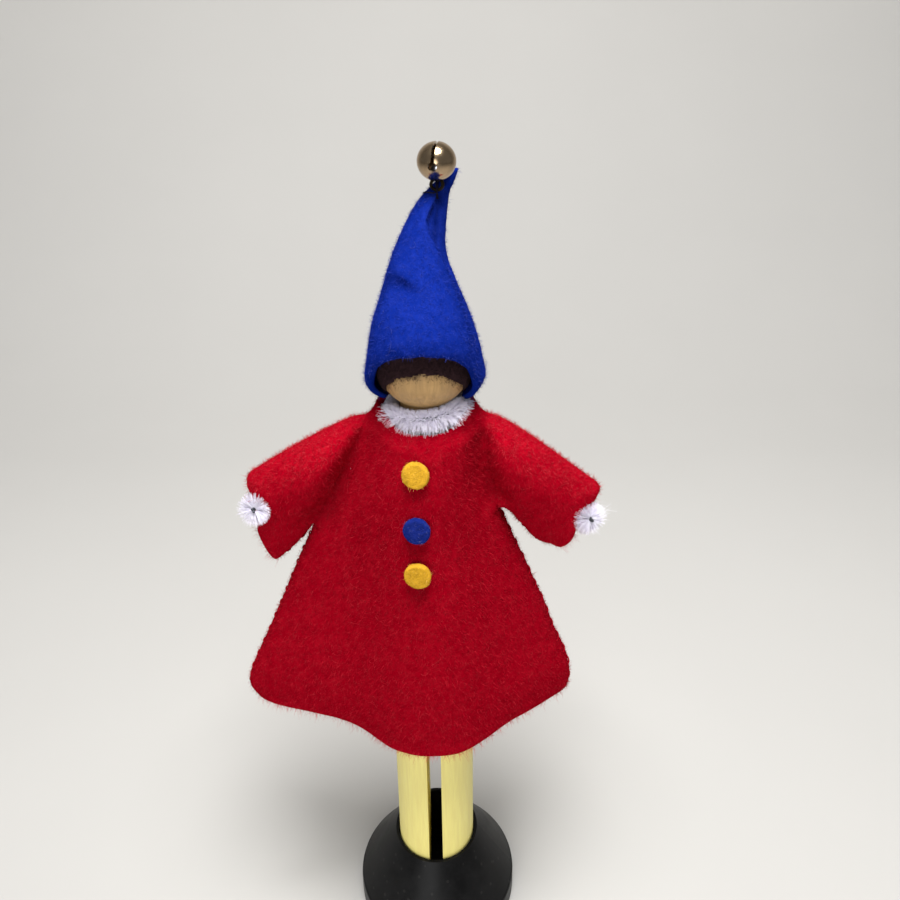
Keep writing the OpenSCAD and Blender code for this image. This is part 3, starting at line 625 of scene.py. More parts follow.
# Room between the felt and the peg, and between the felt and the neck wrap
PEG_ROOM, WRAP_ROOM = 0.2, 0.15
# A sleeve's depth takes over from the coat's this far inside the armhole, over this distance
SLEEVE_FROM, SLEEVE_OVER = 1.5, 3.5
# How much of a valley's depth each layer has, and how far from a seam it is whole
VALLEY_SHARE = {-1: 1.0, 1: 0.6}
VALLEY_FADE = 3
# Rounds of evening out before and after the valleys are pressed in
FIRST_ROUNDS, LAST_ROUNDS = 40, 5
# The coat narrows to its neck over this height
NECK_EASE = 2.2


def sections(layer):
    """The outline of one layer of the garment, from the hem round to the hem."""
    front = layer < 0
    hem = [SIDE_RIGHT[-1], (-10.0, HEM_Z), (8.0, HEM_Z), SIDE_LEFT[0]]
    dip = [(6.4, 104.0), (4.2, 102.9), (0.0, 102.5), (-4.2, 102.9), (-6.4, 104.0)] if front \
        else [(3.7, 104.5), (0.0, 104.6), (-3.7, 104.5)]
    return [("hem", hem), ("sewn", SIDE_LEFT), ("sewn", UNDER_LEFT),
            ("cuff", CUFF_LEFT_FRONT if front else CUFF_LEFT_BACK), ("fold", TOP_LEFT),
            ("neck", [TOP_LEFT[-1], *dip, TOP_RIGHT[0]]), ("fold", TOP_RIGHT),
            ("cuff", CUFF_RIGHT_FRONT if front else CUFF_RIGHT_BACK), ("sewn", UNDER_RIGHT),
            ("sewn", SIDE_RIGHT)]


def dome(share):
    """1 in the middle of a section, falling off to 0 at its sewn edges."""
    return np.maximum(1 - np.abs(share) ** 2.4, 0) ** 0.8


def rounded(gap, radius):
    """The share of its depth that felt has at this gap from a rounded edge."""
    return np.sqrt(np.clip(1 - (1 - np.minimum(gap / radius, 1)) ** 2, 0, 1))


class Layer:
    """One layer of the garment, triangulated over its outline."""

    def __init__(self, layer, step):
        self.layer = layer
        self.kinds, self.keys, points = [], [], []
        for number, (kind, corners) in enumerate(sections(layer)):
            path = smooth_path(corners, step)
            shared = kind in ("sewn", "fold")
            if kind == "sewn":
                path = self.dented(path)
            for i, p in enumerate(path):
                if not shared and i in (0, len(path) - 1):
                    continue
                if points and np.linalg.norm(points[-1] - p) < 1e-6:
                    continue
                points.append(p)
                self.kinds.append(kind)
                self.keys.append((number, i) if shared else None)
        if np.linalg.norm(points[-1] - points[0]) < 1e-6:
            for column in (points, self.kinds, self.keys):
                column.pop()
        self.outline = np.array(points)
        self.paths = {kind: [smooth_path(c, step) for k, c in sections(layer) if k == kind]
                      for kind in EDGE_ROWS}
        self.fill(step)

    @staticmethod
    def dented(path):
        """Pull a sewn edge in a little under each stitch."""
        run = run_along(path)
        places = stitch_places(run[-1], felt_sizes().stitch_pitch)
        pull = STITCH_PULL * np.exp(-((run[:, None] - places) / STITCH_WIDE) ** 2).sum(axis=1)
        inward = left_of(unit(np.gradient(path, axis=0)))
        return path + inward * (pull * ease(np.minimum(run, run[-1] - run) / SEAM_END))[:, None]

    def fill(self, step):
        """Put points inside the outline, and join them without crossing the armholes."""
        outline = self.outline
        n = len(outline)
        closed = np.vstack([outline, outline[:1]])
        self.inward = left_of(unit(np.roll(outline, -1, axis=0) - np.roll(outline, 1, axis=0)))
        armholes = []
        for side in (-1, 1):
            low, top = (np.argmin(np.linalg.norm(outline - np.array(end), axis=1))
                        for end in (ARMHOLE_LOW[side], ARMHOLE_TOP[side]))
            count = int(np.linalg.norm(outline[top] - outline[low]) / step)
            t = np.linspace(0, 1, count + 1)[1:-1, None]
            armholes.append((low, top, outline[low] + (outline[top] - outline[low]) * t))
        extra = []
        for kind, rows in EDGE_ROWS.items():
            chosen = np.array([k == kind for k in self.kinds])
            for gap in rows:
                p = outline[chosen] + self.inward[chosen] * gap
                p = p[inside_outline(p, outline)]
                extra.append(p[path_distance(p, closed) > 0.86 * gap])
        extra = np.vstack(extra)
        low, high = outline.min(axis=0), outline.max(axis=0)
        grid = []
        for j, z in enumerate(np.arange(low[1], high[1], step * TRIANGLE_HEIGHT)):
            xs = np.arange(low[0] + (j % 2) * step / 2, high[0], step)
            grid.append(np.stack([xs, np.full(len(xs), z)], axis=1))
        grid = np.vstack(grid)
        grid = grid[inside_outline(grid, outline)]
        clear = path_distance(grid, closed) > 0.5 * step
        for kind, rows in EDGE_ROWS.items():
            for path in self.paths[kind]:
                clear &= path_distance(grid, path) > rows[-1] + 0.5 * step
        grid = grid[clear]
        cuts, at = [], n
        for low_end, top_end, line in armholes:
            grid = grid[path_distance(grid, line) > 0.45 * step]
            extra = extra[path_distance(extra, line) > 0.3 * step]
            chain = [low_end, *range(at, at + len(line)), top_end]
            at += len(line)
            cuts += list(zip(chain[:-1], chain[1:]))
        self.points = np.vstack([outline] + [line for _, _, line in armholes] + [extra, grid])
        self.cuts = {frozenset(c) for c in cuts}
        edges = [(k, (k + 1) % n) for k in range(n)]
        result = delaunay_2d_cdt([Vector(p) for p in self.points], edges + cuts, [], 1, 1e-5)
        source = [o[0] if o else -1 for o in result[3]]
        if -1 in source or len(source) != len(self.points):
            raise RuntimeError("The garment's outline crosses itself")
        self.faces = np.array(source)[np.array(result[2])]

    def parts(self):
        """Which part each face is in: 0 the coat, 1 and -1 the sleeves."""
        edges = [[frozenset((face[k], face[(k + 1) % 3])) for k in range(3)]
                 for face in self.faces]
        edge_faces = {}
        for f, three in enumerate(edges):
            for edge in three:
                edge_faces.setdefault(edge, []).append(f)
        centres = self.points[self.faces].mean(axis=1)
        part = np.zeros(len(self.faces), int)
        for side in (-1, 1):
            inside_cuff = np.array(CUFF_MID[side]) - [side * 3.0, 0]
            todo = [int(np.argmin(np.linalg.norm(centres - inside_cuff, axis=1)))]
            part[todo[0]] = side
            while todo:
                for edge in edges[todo.pop()]:
                    for other in () if edge in self.cuts else edge_faces[edge]:
                        if part[other] == 0:
                            part[other] = side
                            todo.append(other)
        return part

    def coat_depths(self, x, z):
        """How far the coat would stand out if it had no sleeves."""
        left = np.array(SIDE_LEFT + [ARMHOLE_TOP[1]])
        right = np.array([ARMHOLE_TOP[-1]] + SIDE_RIGHT)[::-1]
        high = np.interp(z, left[:, 1], left[:, 0])
        low = np.interp(z, right[:, 1], right[:, 0])
        u = np.clip((2 * x - low - high) / (high - low), -1, 1)
        under = lerp(ARMHOLE_LOW[-1][1], ARMHOLE_LOW[1][1], (u + 1) / 2)
        level = np.where(z < under, (z - HEM_Z) / (under - HEM_Z),
                         1 + (z - under) / (NECK_Z - under))
        q = np.clip(np.abs((x - FOLD_X) / (FOLD_WIDTH * look_up(FOLD_REACH, level))), 0, 1)
        fold = np.cos(np.pi / 2 * q) ** 1.2
        wing, deep = look_up(WING, level), look_up(DEEP[self.layer], level)
        coat = EDGE_DEPTH + (wing - EDGE_DEPTH) * dome(u) + (deep - wing) * fold * dome(u)
        hem_x = lerp(SIDE_RIGHT[-1][0], SIDE_LEFT[0][0], (u + 1) / 2)
        hem = eased_look_up(HEM_FRONT if self.layer < 0 else HEM_BACK, hem_x, 1.5, 0.75)
        return lerp(np.where(level < 1, hem, coat), coat, ease(level) ** 0.8)

    def depths(self):
        """How far this layer's outer face stands from the middle plane."""
        felt = felt_sizes()
        p, layer = self.points, self.layer
        x, z = p[:, 0], p[:, 1]
        depth = self.coat_depths(x, z)
        fold_gap, sewn_gap = (np.min([path_distance(p, path) for path in self.paths[kind]], axis=0)
                              for kind in ("fold", "sewn"))
        peg = np.where(z < PEG_TOP_Z, half_round(x, PEG_R + felt.thickness + PEG_ROOM), 0)
        wrap = np.where(z < WRAP_TOP_Z, half_round(x, WRAP_R + felt.thickness + WRAP_ROOM), 0)
        obstacle = np.maximum(peg, wrap)
        valley = np.zeros(len(p))
        for side in (-1, 1):
            top, foot = np.array(ARMHOLE_TOP[side]), np.array(ARMHOLE_LOW[side])
            pivot, end = (top + foot) / 2, np.array(CUFF_MID[side])
            up = unit(top - foot)
            away = (p - pivot) @ (side * np.array([up[1], -up[0]]))
            along = np.clip(((p - pivot) @ (end - pivot)) / ((end - pivot) @ (end - pivot)), 0, 1)
            wide = lerp(SLEEVE_ROOT, SLEEVE_END[side], along)
            between = np.clip((fold_gap - sewn_gap) / (fold_gap + sewn_gap + 1e-9), 0, 1)
            sleeve = EDGE_DEPTH + (wide - EDGE_DEPTH) * dome(between)
            reachable = (x * side > 8) & (z > foot[1] - 9)
            share = ease((away + SLEEVE_FROM) / SLEEVE_OVER)
            depth = np.where(reachable, lerp(depth, sleeve, share), depth)
            beside = np.abs((p - pivot) @ np.array([-(end - pivot)[1], (end - pivot)[0]])
                            / np.linalg.norm(end - pivot))
            arm = np.where(reachable & (away > 0), half_round(beside, ARM_R + felt.thickness), 0)
            obstacle = np.maximum(obstacle, arm)
            gap = path_distance(p, smooth_path(VALLEY[side], 1.0))
            valley += VALLEY_DEPTH[side] * np.exp(-(gap / VALLEY_WIDTH[side]) ** 2)
        at_neck = [k == "neck" for k in self.kinds] + [False] * (len(p) - len(self.kinds))
        depth = self.relaxed(np.where(at_neck, NECK_R, depth), obstacle, FIRST_ROUNDS)
        depth = depth - valley * ease(sewn_gap / VALLEY_FADE) * VALLEY_SHARE[layer]
        depth = self.relaxed(np.maximum(depth, obstacle), obstacle, LAST_ROUNDS)
        flat = np.stack([x, np.full(len(x), 9.0 * layer), z], axis=1)
        depth += 0.16 * lumps(flat, 7.0, 3 + layer) + 0.05 * lumps(flat, 2.1, 5 + layer)
        depth *= rounded(fold_gap, np.where(np.abs(x) < SHOULDER_X, SHOULDER_FOLD_R,
                                            felt.fold_radius))
        depth *= rounded(sewn_gap, EDGE_ROUND)
        near_neck = ease((z - (NECK_Z - NECK_EASE)) / NECK_EASE) * (np.abs(x) < NECK_R)
        neck = NECK_DEEP[layer] * half_round(x / NECK_R, 1)
        depth = lerp(depth, np.minimum(depth, neck), near_neck)
        depth[: len(self.keys)][[k is not None for k in self.keys]] = 0
        return depth

    def relaxed(self, depth, floor, times):
        """Even the depth out over the mesh, never below what is under the felt."""
        pairs = np.vstack([self.faces[:, [0, 1]], self.faces[:, [1, 2]], self.faces[:, [2, 0]]])
        pairs = np.vstack([pairs, pairs[:, ::-1]])
        count = np.bincount(pairs[:, 0], minlength=len(depth))
        edge = np.arange(len(depth)) < len(self.outline)
        out = np.maximum(depth, floor)
        for _ in range(times):
            total = np.bincount(pairs[:, 0], weights=out[pairs[:, 1]], minlength=len(out))
            step = lerp(out, total / np.maximum(count, 1), 0.7)
            out = np.where(edge, out, np.maximum(step, floor))
        return out


class Garment:
    """Both layers joined, as an outer and an inner face with rounded rims, in three parts."""

    def __init__(self):
        felt = felt_sizes()
        layers = [Layer(layer, felt.mesh_step) for layer in (-1, 1)]
        points, at, maps = [], {}, []
        for layer in layers:
            index = np.zeros(len(layer.points), int)
            for k, (p, d) in enumerate(zip(layer.points, layer.depths())):
                key = layer.keys[k] if k < len(layer.keys) else None
                if key is not None and key in at:
                    index[k] = at[key]
                    continue
                index[k] = len(points)
                if key is not None:
                    at[key] = index[k]
                points.append((p[0], layer.layer * d, p[1]))
            maps.append(index)
        self.outer = outer = np.array(points)
        # Points along the openings, where the felt is fluffiest, and the way out of each
        self.edges = [(index[k], *-layer.inward[k]) for layer, index in zip(layers, maps)
                      for k, kind in enumerate(layer.kinds) if kind in ("hem", "cuff")]
        self.skin_faces = faces = np.vstack([index[layer.faces][:, :: -layer.layer]
                                             for layer, index in zip(layers, maps)])
        self.skin_part = part = np.concatenate([layer.parts() for layer in layers])
        self.outer_normals = vertex_normals(outer, faces)
        inner = outer - self.outer_normals * felt.thickness
        way = np.sign(outer[:, 1])
        inner[:, 1] = np.where(np.abs(outer[:, 1]) < 1e-6, 0,
                               way * np.maximum(way * inner[:, 1], 0.03))
        count = len(outer)
        points, bits = [outer, inner], [(faces, part), (faces[:, ::-1] + count, part)]
        point_part = np.zeros(count, int)
        for f, s in zip(faces, part):
            point_part[f] = s
        for layer, index in zip(layers, maps):
            rim, *bit = self.rim(layer, index, outer, inner, point_part, sum(map(len, points)))
            points.append(rim)
            bits.append(bit)
        shown = sum(len(f) for f, _ in bits)
        for layer, index in zip(layers, maps):
            ends = []
            for cut in layer.cuts:
                a, b = (index[k] for k in cut)
                ends += [[a, b, b + count], [a, b + count, a + count]]
            ends = np.array(ends)
            for side in (-1, 0, 1):
                chosen = ends if side == 0 else ends[outer[ends[:, 0], 0] * side > 0]
                bits.append((chosen, np.full(len(chosen), side)))
        self.points = np.vstack(points)
        self.faces, self.part = (np.concatenate(column) for column in zip(*bits))
        self.normals = vertex_normals(self.points, self.faces[:shown])

    @staticmethod
    def rim(layer, index, outer, inner, point_part, first):
        """A half-round edge along each opening. first is the number of its first own point."""
        points, faces, parts, made = [], [], [], {}
        half = felt_sizes().thickness / 2

        def column(k):
            if k not in made:
                a, b = outer[index[k]], inner[index[k]]
                away = -np.array([layer.inward[k][0], 0, layer.inward[k][1]])
                made[k] = [index[k]]
                for c, s in map(cos_sin, RIM_TURNS):
                    made[k].append(first + len(points))
                    points.append((a + b) / 2 + (a - b) / 2 * c + away * half * 0.7 * s)
                made[k].append(index[k] + len(outer))
            return made[k]

        for k in range(len(layer.outline)):
            m = (k + 1) % len(layer.outline)
            open_edge = {layer.kinds[k], layer.kinds[m]} & {"hem", "cuff", "neck"}
            if not open_edge or (layer.keys[k] is not None and layer.keys[m] is not None):
                continue
            a, b = column(k), column(m)
            where = point_part[index[k if layer.keys[k] is None else m]]
            for i in range(len(RIM_TURNS) + 1):
                quad = [a[i], a[i + 1], b[i + 1], b[i]][:: -layer.layer]
                faces += [[quad[0], quad[1], quad[2]], [quad[0], quad[2], quad[3]]]
                parts += [where, where]
        return np.array(points), np.array(faces), np.array(parts)

    def cut_out(self, side):
        """The points, faces and normals of one part."""
        faces = self.faces[self.part == side]
        used, new = np.unique(faces, return_inverse=True)
        return self.points[used], new.reshape(faces.shape), self.normals[used]

    def skin(self, side):
        """The outer face of one part, for fibres."""
        return self.outer, self.skin_faces[self.skin_part == side], self.outer_normals


# ---------------------------------------------------------------- fibres, strands and threads


def face_areas(points, faces):
    a, b, c = (points[faces[:, k]] for k in range(3))
    return np.linalg.norm(np.cross(b - a, c - a), axis=1) / 2


def scattered(points, faces, normals, count, rng):
    """Places spread evenly over a surface, with the normal at each."""
    area = face_areas(points, faces)
    chosen = rng.choice(len(faces), size=count, p=area / area.sum())
    r, s = np.sqrt(rng.random(count)), rng.random(count)
    shares = np.stack([1 - r, r * (1 - s), r * s], axis=1)
    f = faces[chosen]
    at = sum(shares[:, k, None] * points[f[:, k]] for k in range(3))
    n = unit(sum(shares[:, k, None] * normals[f[:, k]] for k in range(3)))
    return at, n


def sideways(normals, rng):
    """A random direction along the surface at each place."""
    any_way = rng.normal(size=normals.shape)
    return unit(any_way - (any_way * normals).sum(axis=1, keepdims=True) * normals)


def ribbons(feet, rise, run, lengths, width):
    """Fine curved fibres: each rises from its foot and bends over along the surface."""
    aside = unit(np.cross(rise, run)) * width / 2
    size = lengths[:, None]
    middle = feet + (rise * 0.24 + run * 0.42) * size
    tip = feet + (rise * 0.3 + run) * size
    points = np.stack([feet - aside, feet + aside, middle + aside * 0.8, middle - aside * 0.8,
                       tip], axis=1)
    at = np.arange(len(feet))[:, None] * 5
    faces = [[k, k + 1, k + 2, k + 3] for k in at[:, 0]]
    faces += [[k + 3, k + 2, k + 4] for k in at[:, 0]]
    return points.reshape(-1, 3), faces


def fuzz(at, normals, rng, length, lift, width):
    """Loose felt fibres lying at odd angles. lift is how steeply they may stand."""
    run = sideways(normals, rng)
    stand = rng.random(len(at))[:, None] ** 1.5 * lift
    rise = unit(normals * (0.35 + stand) + run * 0.5)
    lengths = length * (0.45 + 0.9 * rng.random(len(at)) ** 1.5)
    flow = unit(run + normals * stand * 0.8)
    return ribbons(at - normals * 0.06, rise, flow, lengths, width)


def long_fibres(points, faces, normals, count, width, rng):
    """Single curled fibres that lie along a surface."""
    used = np.unique(faces)
    tree = KDTree(len(used))
    for k in used:
        tree.insert(points[k], int(k))
    tree.balance()
    at, way = scattered(points, faces, normals, count, rng)
    heading = sideways(way, rng)
    bits = []
    for p, n, run in zip(at, way, heading):
        curl, path = rng.normal() * 0.5, []
        for _ in range(rng.integers(4, 11)):
            near, k, _ = tree.find(p)
            n = normals[k]
            p = p - n * ((p - np.array(near)) @ n) + n * (0.1 + 0.12 * rng.random())
            path.append(p)
            curl = curl * 0.85 + rng.normal() * 0.25
            run = unit(run - (run @ n) * n + np.cross(n, run) * curl)
            p = p + run * 0.3
        bits.append(tube(smooth_path(path, 0.25), width / 2, 4))
    return gather(bits)


def strand_mesh(feet, tips, bend, width, tip_share=0.5):
    """Round-sided strands from foot to tip through a bent middle, as three-sided tubes."""
    way = unit(tips - feet)
    side = unit(np.cross(way, np.where(np.abs(way[:, 2:]) > 0.9, [[1.0, 0, 0]], [[0, 0, 1.0]])))
    other = np.cross(way, side)
    rings = []
    for share, thin in ((0.0, 0.0), (0.55, 0.4), (0.93, 1.0)):
        centre = feet + (tips - feet) * share + bend * (4 * share * (1 - share))
        wide = lerp(width, width * tip_share, thin)
        for c, s in map(cos_sin, (0, 120, 240)):
            rings.append(centre + (side * c + other * s) * wide / 2)
    points = np.stack(rings + [tips], axis=1)
    pattern = ring_quads(2, 3).tolist()
    base = range(0, len(feet) * 10, 10)
    faces = [[b + v for v in q] for b in base for q in pattern]
    faces += [[b + 6 + k, b + 6 + (k + 1) % 3, b + 9] for b in base for k in range(3)]
    return points.reshape(-1, 3), faces


def ring_quads(rows, turns):
    """The cells between closed rings of points, each from its own point round to the one above."""
    j, k = np.divmod(np.arange(rows * turns), turns)
    n = (k + 1) % turns
    return np.stack([j * turns + k, j * turns + n, (j + 1) * turns + n, (j + 1) * turns + k], 1)


def tube(path, radius, sides=8):
    """A closed-ended tube along a path, as points and faces."""
    path = np.asarray(path, float)
    way = unit(np.gradient(path, axis=0))
    side = np.cross(way[0], [0.3, 0.2, 0.93])
    points = []
    for p, w in zip(path, way):
        side = unit(side - (side @ w) * w)
        other = np.cross(w, side)
        for a in (2 * math.pi * k / sides for k in range(sides)):
            points.append(p + (side * math.cos(a) + other * math.sin(a)) * radius)
    last = range(len(points) - sides, len(points))
    faces = ring_quads(len(path) - 1, sides).tolist() + [list(range(sides))[::-1], list(last)]
    return np.array(points), faces


def gather(bits):
    """Several meshes as one."""
    points, faces, at = [], [], 0
    for p, f in bits:
        points.append(p)
        faces += [[v + at for v in q] for q in f]
        at += len(p)
    return np.vstack(points), faces


def whip_stitches(path, pitch, radius):
    """Loops of thread over a sewn edge, each slanting a little along it."""
    run = run_along(path)
    bits = []
    for at in stitch_places(run[-1], pitch):
        p, ahead = (np.array([np.interp(place, run, path[:, i]) for i in (0, 1)])
                    for place in (at, at + 0.4))
        way = unit(ahead - p)
        out = np.array([way[1], -way[0]])
        loop = []
        for turn in np.linspace(-STITCH_TURN, STITCH_TURN, 15):
            c, s = cos_sin(turn)
            flat = p - out * 0.82 + out * 0.84 * c + way * 0.5 * turn / STITCH_TURN
            loop.append((flat[0], 1.14 * s, flat[1]))
        bits.append(tube(loop, radius))
    return gather(bits)


# ---------------------------------------------------------------- operators


class Piece:
    """What every piece's operator shares."""

    bl_options = {"REGISTER", "UNDO"}

    def execute(self, context):
        self.build(context)
        return {"FINISHED"}

    @staticmethod
    def attach(body, slot, *pieces):
        """Let pieces ride a body. The slot is not used."""
        for piece in pieces:
            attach(piece, body)


class DOLL_OT_wood(Piece, bpy.types.Operator):
    """Paint the stand and the peg"""

    bl_idname = "doll.wood"
    bl_label = "Stand and Peg"

    paint_top_z = 96.0

    def build(self, context):
        c = colours()
        dress("stand", stand_material(c.stand_black))
        dress("peg", peg_material(c.bare_wood, c.painted_wood, self.paint_top_z))


class DOLL_OT_garment(Piece, bpy.types.Operator):
    """Cut, sew and fluff the felt coat and its sleeves"""

    bl_idname = "doll.garment"
    bl_label = "Coat and Sleeves"

    # The node and flat size of each part, by side, where 0 is the coat. Flat sizes in metres
    parts = {0: ("coat", (0.054, 0.107)), 1: ("left_sleeve", (0.031, 0.017)),
             -1: ("right_sleeve", (0.037, 0.019))}
    seams = {0: {"side_stitches_left": SIDE_LEFT, "side_stitches_right": SIDE_RIGHT},
             1: {"left_sleeve_stitches": UNDER_LEFT}, -1: {"right_sleeve_stitches": UNDER_RIGHT}}
    # How much there is of the rarer kinds of fibre
    fringe_at_each_point = 18
    long_per_cm2 = 4
    sleeve_top_light_nap_per_cm2 = 500
    sleeve_curls_per_cm2 = 12
    # How far a bend of the felt would reach, from just inside the armhole to this far out, in
    # millimetres
    bend_from, bend_to = 0.5, 6

    def build(self, context):
        felt, c = felt_sizes(), colours()
        rng = np.random.default_rng(11)
        garment = Garment()
        plain = felt_material("red_wool_felt", c.red_felt)
        # The sleeves get a lighter copy of the coat's felt: painted light for their lit tops, since
        # they are the same felt as the coat
        lighter_sleeve_felt = felt_material("sleeve_red_felt_painted_lighter", tinted(c.red_felt, 1.16))
        fluff = (fibre_material("red_felt_fibres", c.red_felt),
                 # The paler fibres make the cut edges' fringe, the long fibres and the extra nap on
                 # the sleeves' tops, where they are painted light
                 fibre_material("pale_red_fibres", c.red_felt, 0.02, 1.9))
        thread = thread_material("red_sewing_thread", tinted(c.red_felt, 1.05))
        for side, (node, size) in self.parts.items():
            points, faces, normals = garment.cut_out(side)
            piece = make_piece(f"{node}_felt", points, faces, lighter_sleeve_felt if side else plain, normals)
            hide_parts(node)
            fibres = self.fluff(garment, side, node, fluff, rng)
            extras = [fibres]
            for name, path in self.seams[side].items():
                loops = make_piece(f"{name}_loops", *whip_stitches(
                    smooth_path(path, 0.4), felt.stitch_pitch, felt.thread_width / 2), thread)
                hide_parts(name)
                extras.append(loops)
            for item in [piece] + extras:
                self.hang(item, side)

    def fluff(self, garment, side, node, materials, rng):
        """A short nap, a paler fringe on the cut edges and a few long fibres."""
        felt = felt_sizes()
        points, faces, normals = garment.skin(side)
        area = face_areas(points, faces).sum() / 100
        at, n = scattered(points, faces, normals, int(area * felt.fibres_per_cm2), rng)
        nap = fuzz(at, n, rng, felt.fibre_length, 1.4, felt.fibre_width)
        used = set(np.unique(faces).tolist())
        rims = [e for e in garment.edges if e[0] in used]
        count = self.fringe_at_each_point * len(rims)
        rims = [rims[k] for k in rng.integers(0, len(rims), count)]
        k = np.array([e[0] for e in rims])
        away = np.array([(e[1], 0, e[2]) for e in rims])
        out = unit(away + 0.5 * normals[k])
        spread = rng.normal(size=out.shape) * [0.2, 0.2, 0.15]
        feet = points[k] - normals[k] * felt.thickness * rng.random(len(k))[:, None] + spread
        thin = felt.fibre_width * 0.8
        bits = [nap, fuzz(feet, out, rng, felt.fibre_length * 1.6, 2.6, thin),
                long_fibres(points, faces, normals, int(area * self.long_per_cm2), thin, rng)]
        if side:
            # Pale nap on the sleeves' upward faces only is painted light that lightens their tops;
            # the curls there are loose fibres
            top = faces[normals[faces[:, 0], 2] > 0.2]
            at, n = scattered(points, top, normals, int(area * self.sleeve_top_light_nap_per_cm2), rng)
            bits.append(fuzz(at, n, rng, felt.fibre_length * 1.1, 1.6, thin))
            curls = int(area * self.sleeve_curls_per_cm2)
            bits.append(long_fibres(points, top, normals, curls, 0.03, rng))
        return make_piece(f"{node}_fibres", *gather(bits), materials, first=(0, len(nap[1])))

    def hang(self, item, side):
        """Let the coat ride the doll, and fix each sleeve where it lies."""
        if side == 0:
            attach(item, "doll")
            return
        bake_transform(item)


class DOLL_OT_buttons(Piece, bpy.types.Operator):
    """Cut three felt buttons"""

    bl_idname = "doll.buttons"
    bl_label = "Buttons"

    rings, turns = 15, 72
    fibres = 300
    # How far the face stands out, as a share of half the felt's thickness
    face = 1.04
    # How wide the underside is at three heights, as shares of the disc's own sizes
    underside = ((1.0, 0.0), (0.985, -0.7), (0.93, -1))

    def build(self, context):
        c = colours()
        yellow, blue = (felt_material(name, colour, 0.22, 0.13, 0.05, 0.6)
                        for name, colour in (("yellow_wool_felt", c.yellow_felt),
                                             ("button_blue_felt", c.button_blue)))
        for seed, (node, material, colour, slot) in enumerate((
                ("button_top", yellow, c.yellow_felt, "yellow_felt"),
                ("button_middle", blue, c.button_blue, "blue_button_felt"),
                ("button_bottom", yellow, c.yellow_felt, "yellow_felt"))):
            disc, fluff = self.disc(node, material, colour, 40 + seed)
            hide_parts(node)
            self.attach("doll", slot, disc, fluff)

    def disc(self, node, material, colour, seed):
        """A felt disc with a soft rim, on the same place and slope as its solid."""
        co = np.array([v.co for v in bpy.data.objects[node].data.vertices]) / MM
        mid = co.mean(axis=0)
        ways = np.linalg.eigh(np.cov((co - mid).T))[1]
        out = ways[:, 0] * -np.sign(ways[1, 0])
        side = unit(np.cross(out, UP))
        up = np.cross(side, out)
        radius, half = (np.abs((co - mid) @ way).max() for way in (side, out))
        rings, turns = self.rings, self.turns
        points, faces = [mid + out * half * self.face], []
        wobble = [1 + 0.04 * noise.noise(Vector((math.cos(a) * 1.9, math.sin(a) * 1.9, seed)))
                  + 0.012 * noise.noise(Vector((math.cos(a) * 6, math.sin(a) * 6, seed + 9)))
                  for a in np.linspace(0, 2 * math.pi, turns, endpoint=False)]
        outline = []
        for share in (math.sin(math.pi / 2 * k / rings) for k in range(1, rings + 1)):
            rim = max(0, (share - 0.86) / 0.14)
            outline.append((share, half * (self.face - 0.1 * share**2 - 0.55 * rim**2)))
        outline += [(share, height * half) for share, height in self.underside]
        for share, height in outline:
            for k in range(turns):
                a = 2 * math.pi * k / turns
                r = radius * share * wobble[k]
                p = mid + (side * math.cos(a) + up * math.sin(a)) * r + out * height
                points.append(p + out * 0.05 * noise.noise(Vector(p) * 1.3))
        points.append(mid - out * half)
        last = 1 + (rings + 2) * turns
        for k in range(turns):
            n = (k + 1) % turns
            faces.append([0, 1 + k, 1 + n])
            faces += [[a + k, a + turns + k, a + turns + n, a + n]
                      for a in range(1, last, turns)]
            faces.append([last + k, len(points) - 1, last + n])
        faces = [f[::-1] for f in faces] if np.dot(np.cross(side, up), out) < 0 else faces
        disc = make_piece(f"{node}_felt", points, faces, material)
        rng = np.random.default_rng(seed)
        around_it = any_turn(self.fibres, side, up, rng)
        r = radius * np.sqrt(rng.random(self.fibres)) * 0.99
        r[: self.fibres // 2] = radius * 0.99
        on_rim = (r > radius * 0.95)[:, None]
        feet = mid + around_it * r[:, None] + out * np.where(on_rim, 0.15 * half, half * 0.97)
        p, f = fuzz(feet, np.where(on_rim, unit(around_it + 0.5 * out), out), rng, 0.36, 0.6, 0.03)
        return disc, make_piece(f"{node}_fibres", p, f,
                                fibre_material(f"{node}_fluff", colour, 0.12, 1.1))


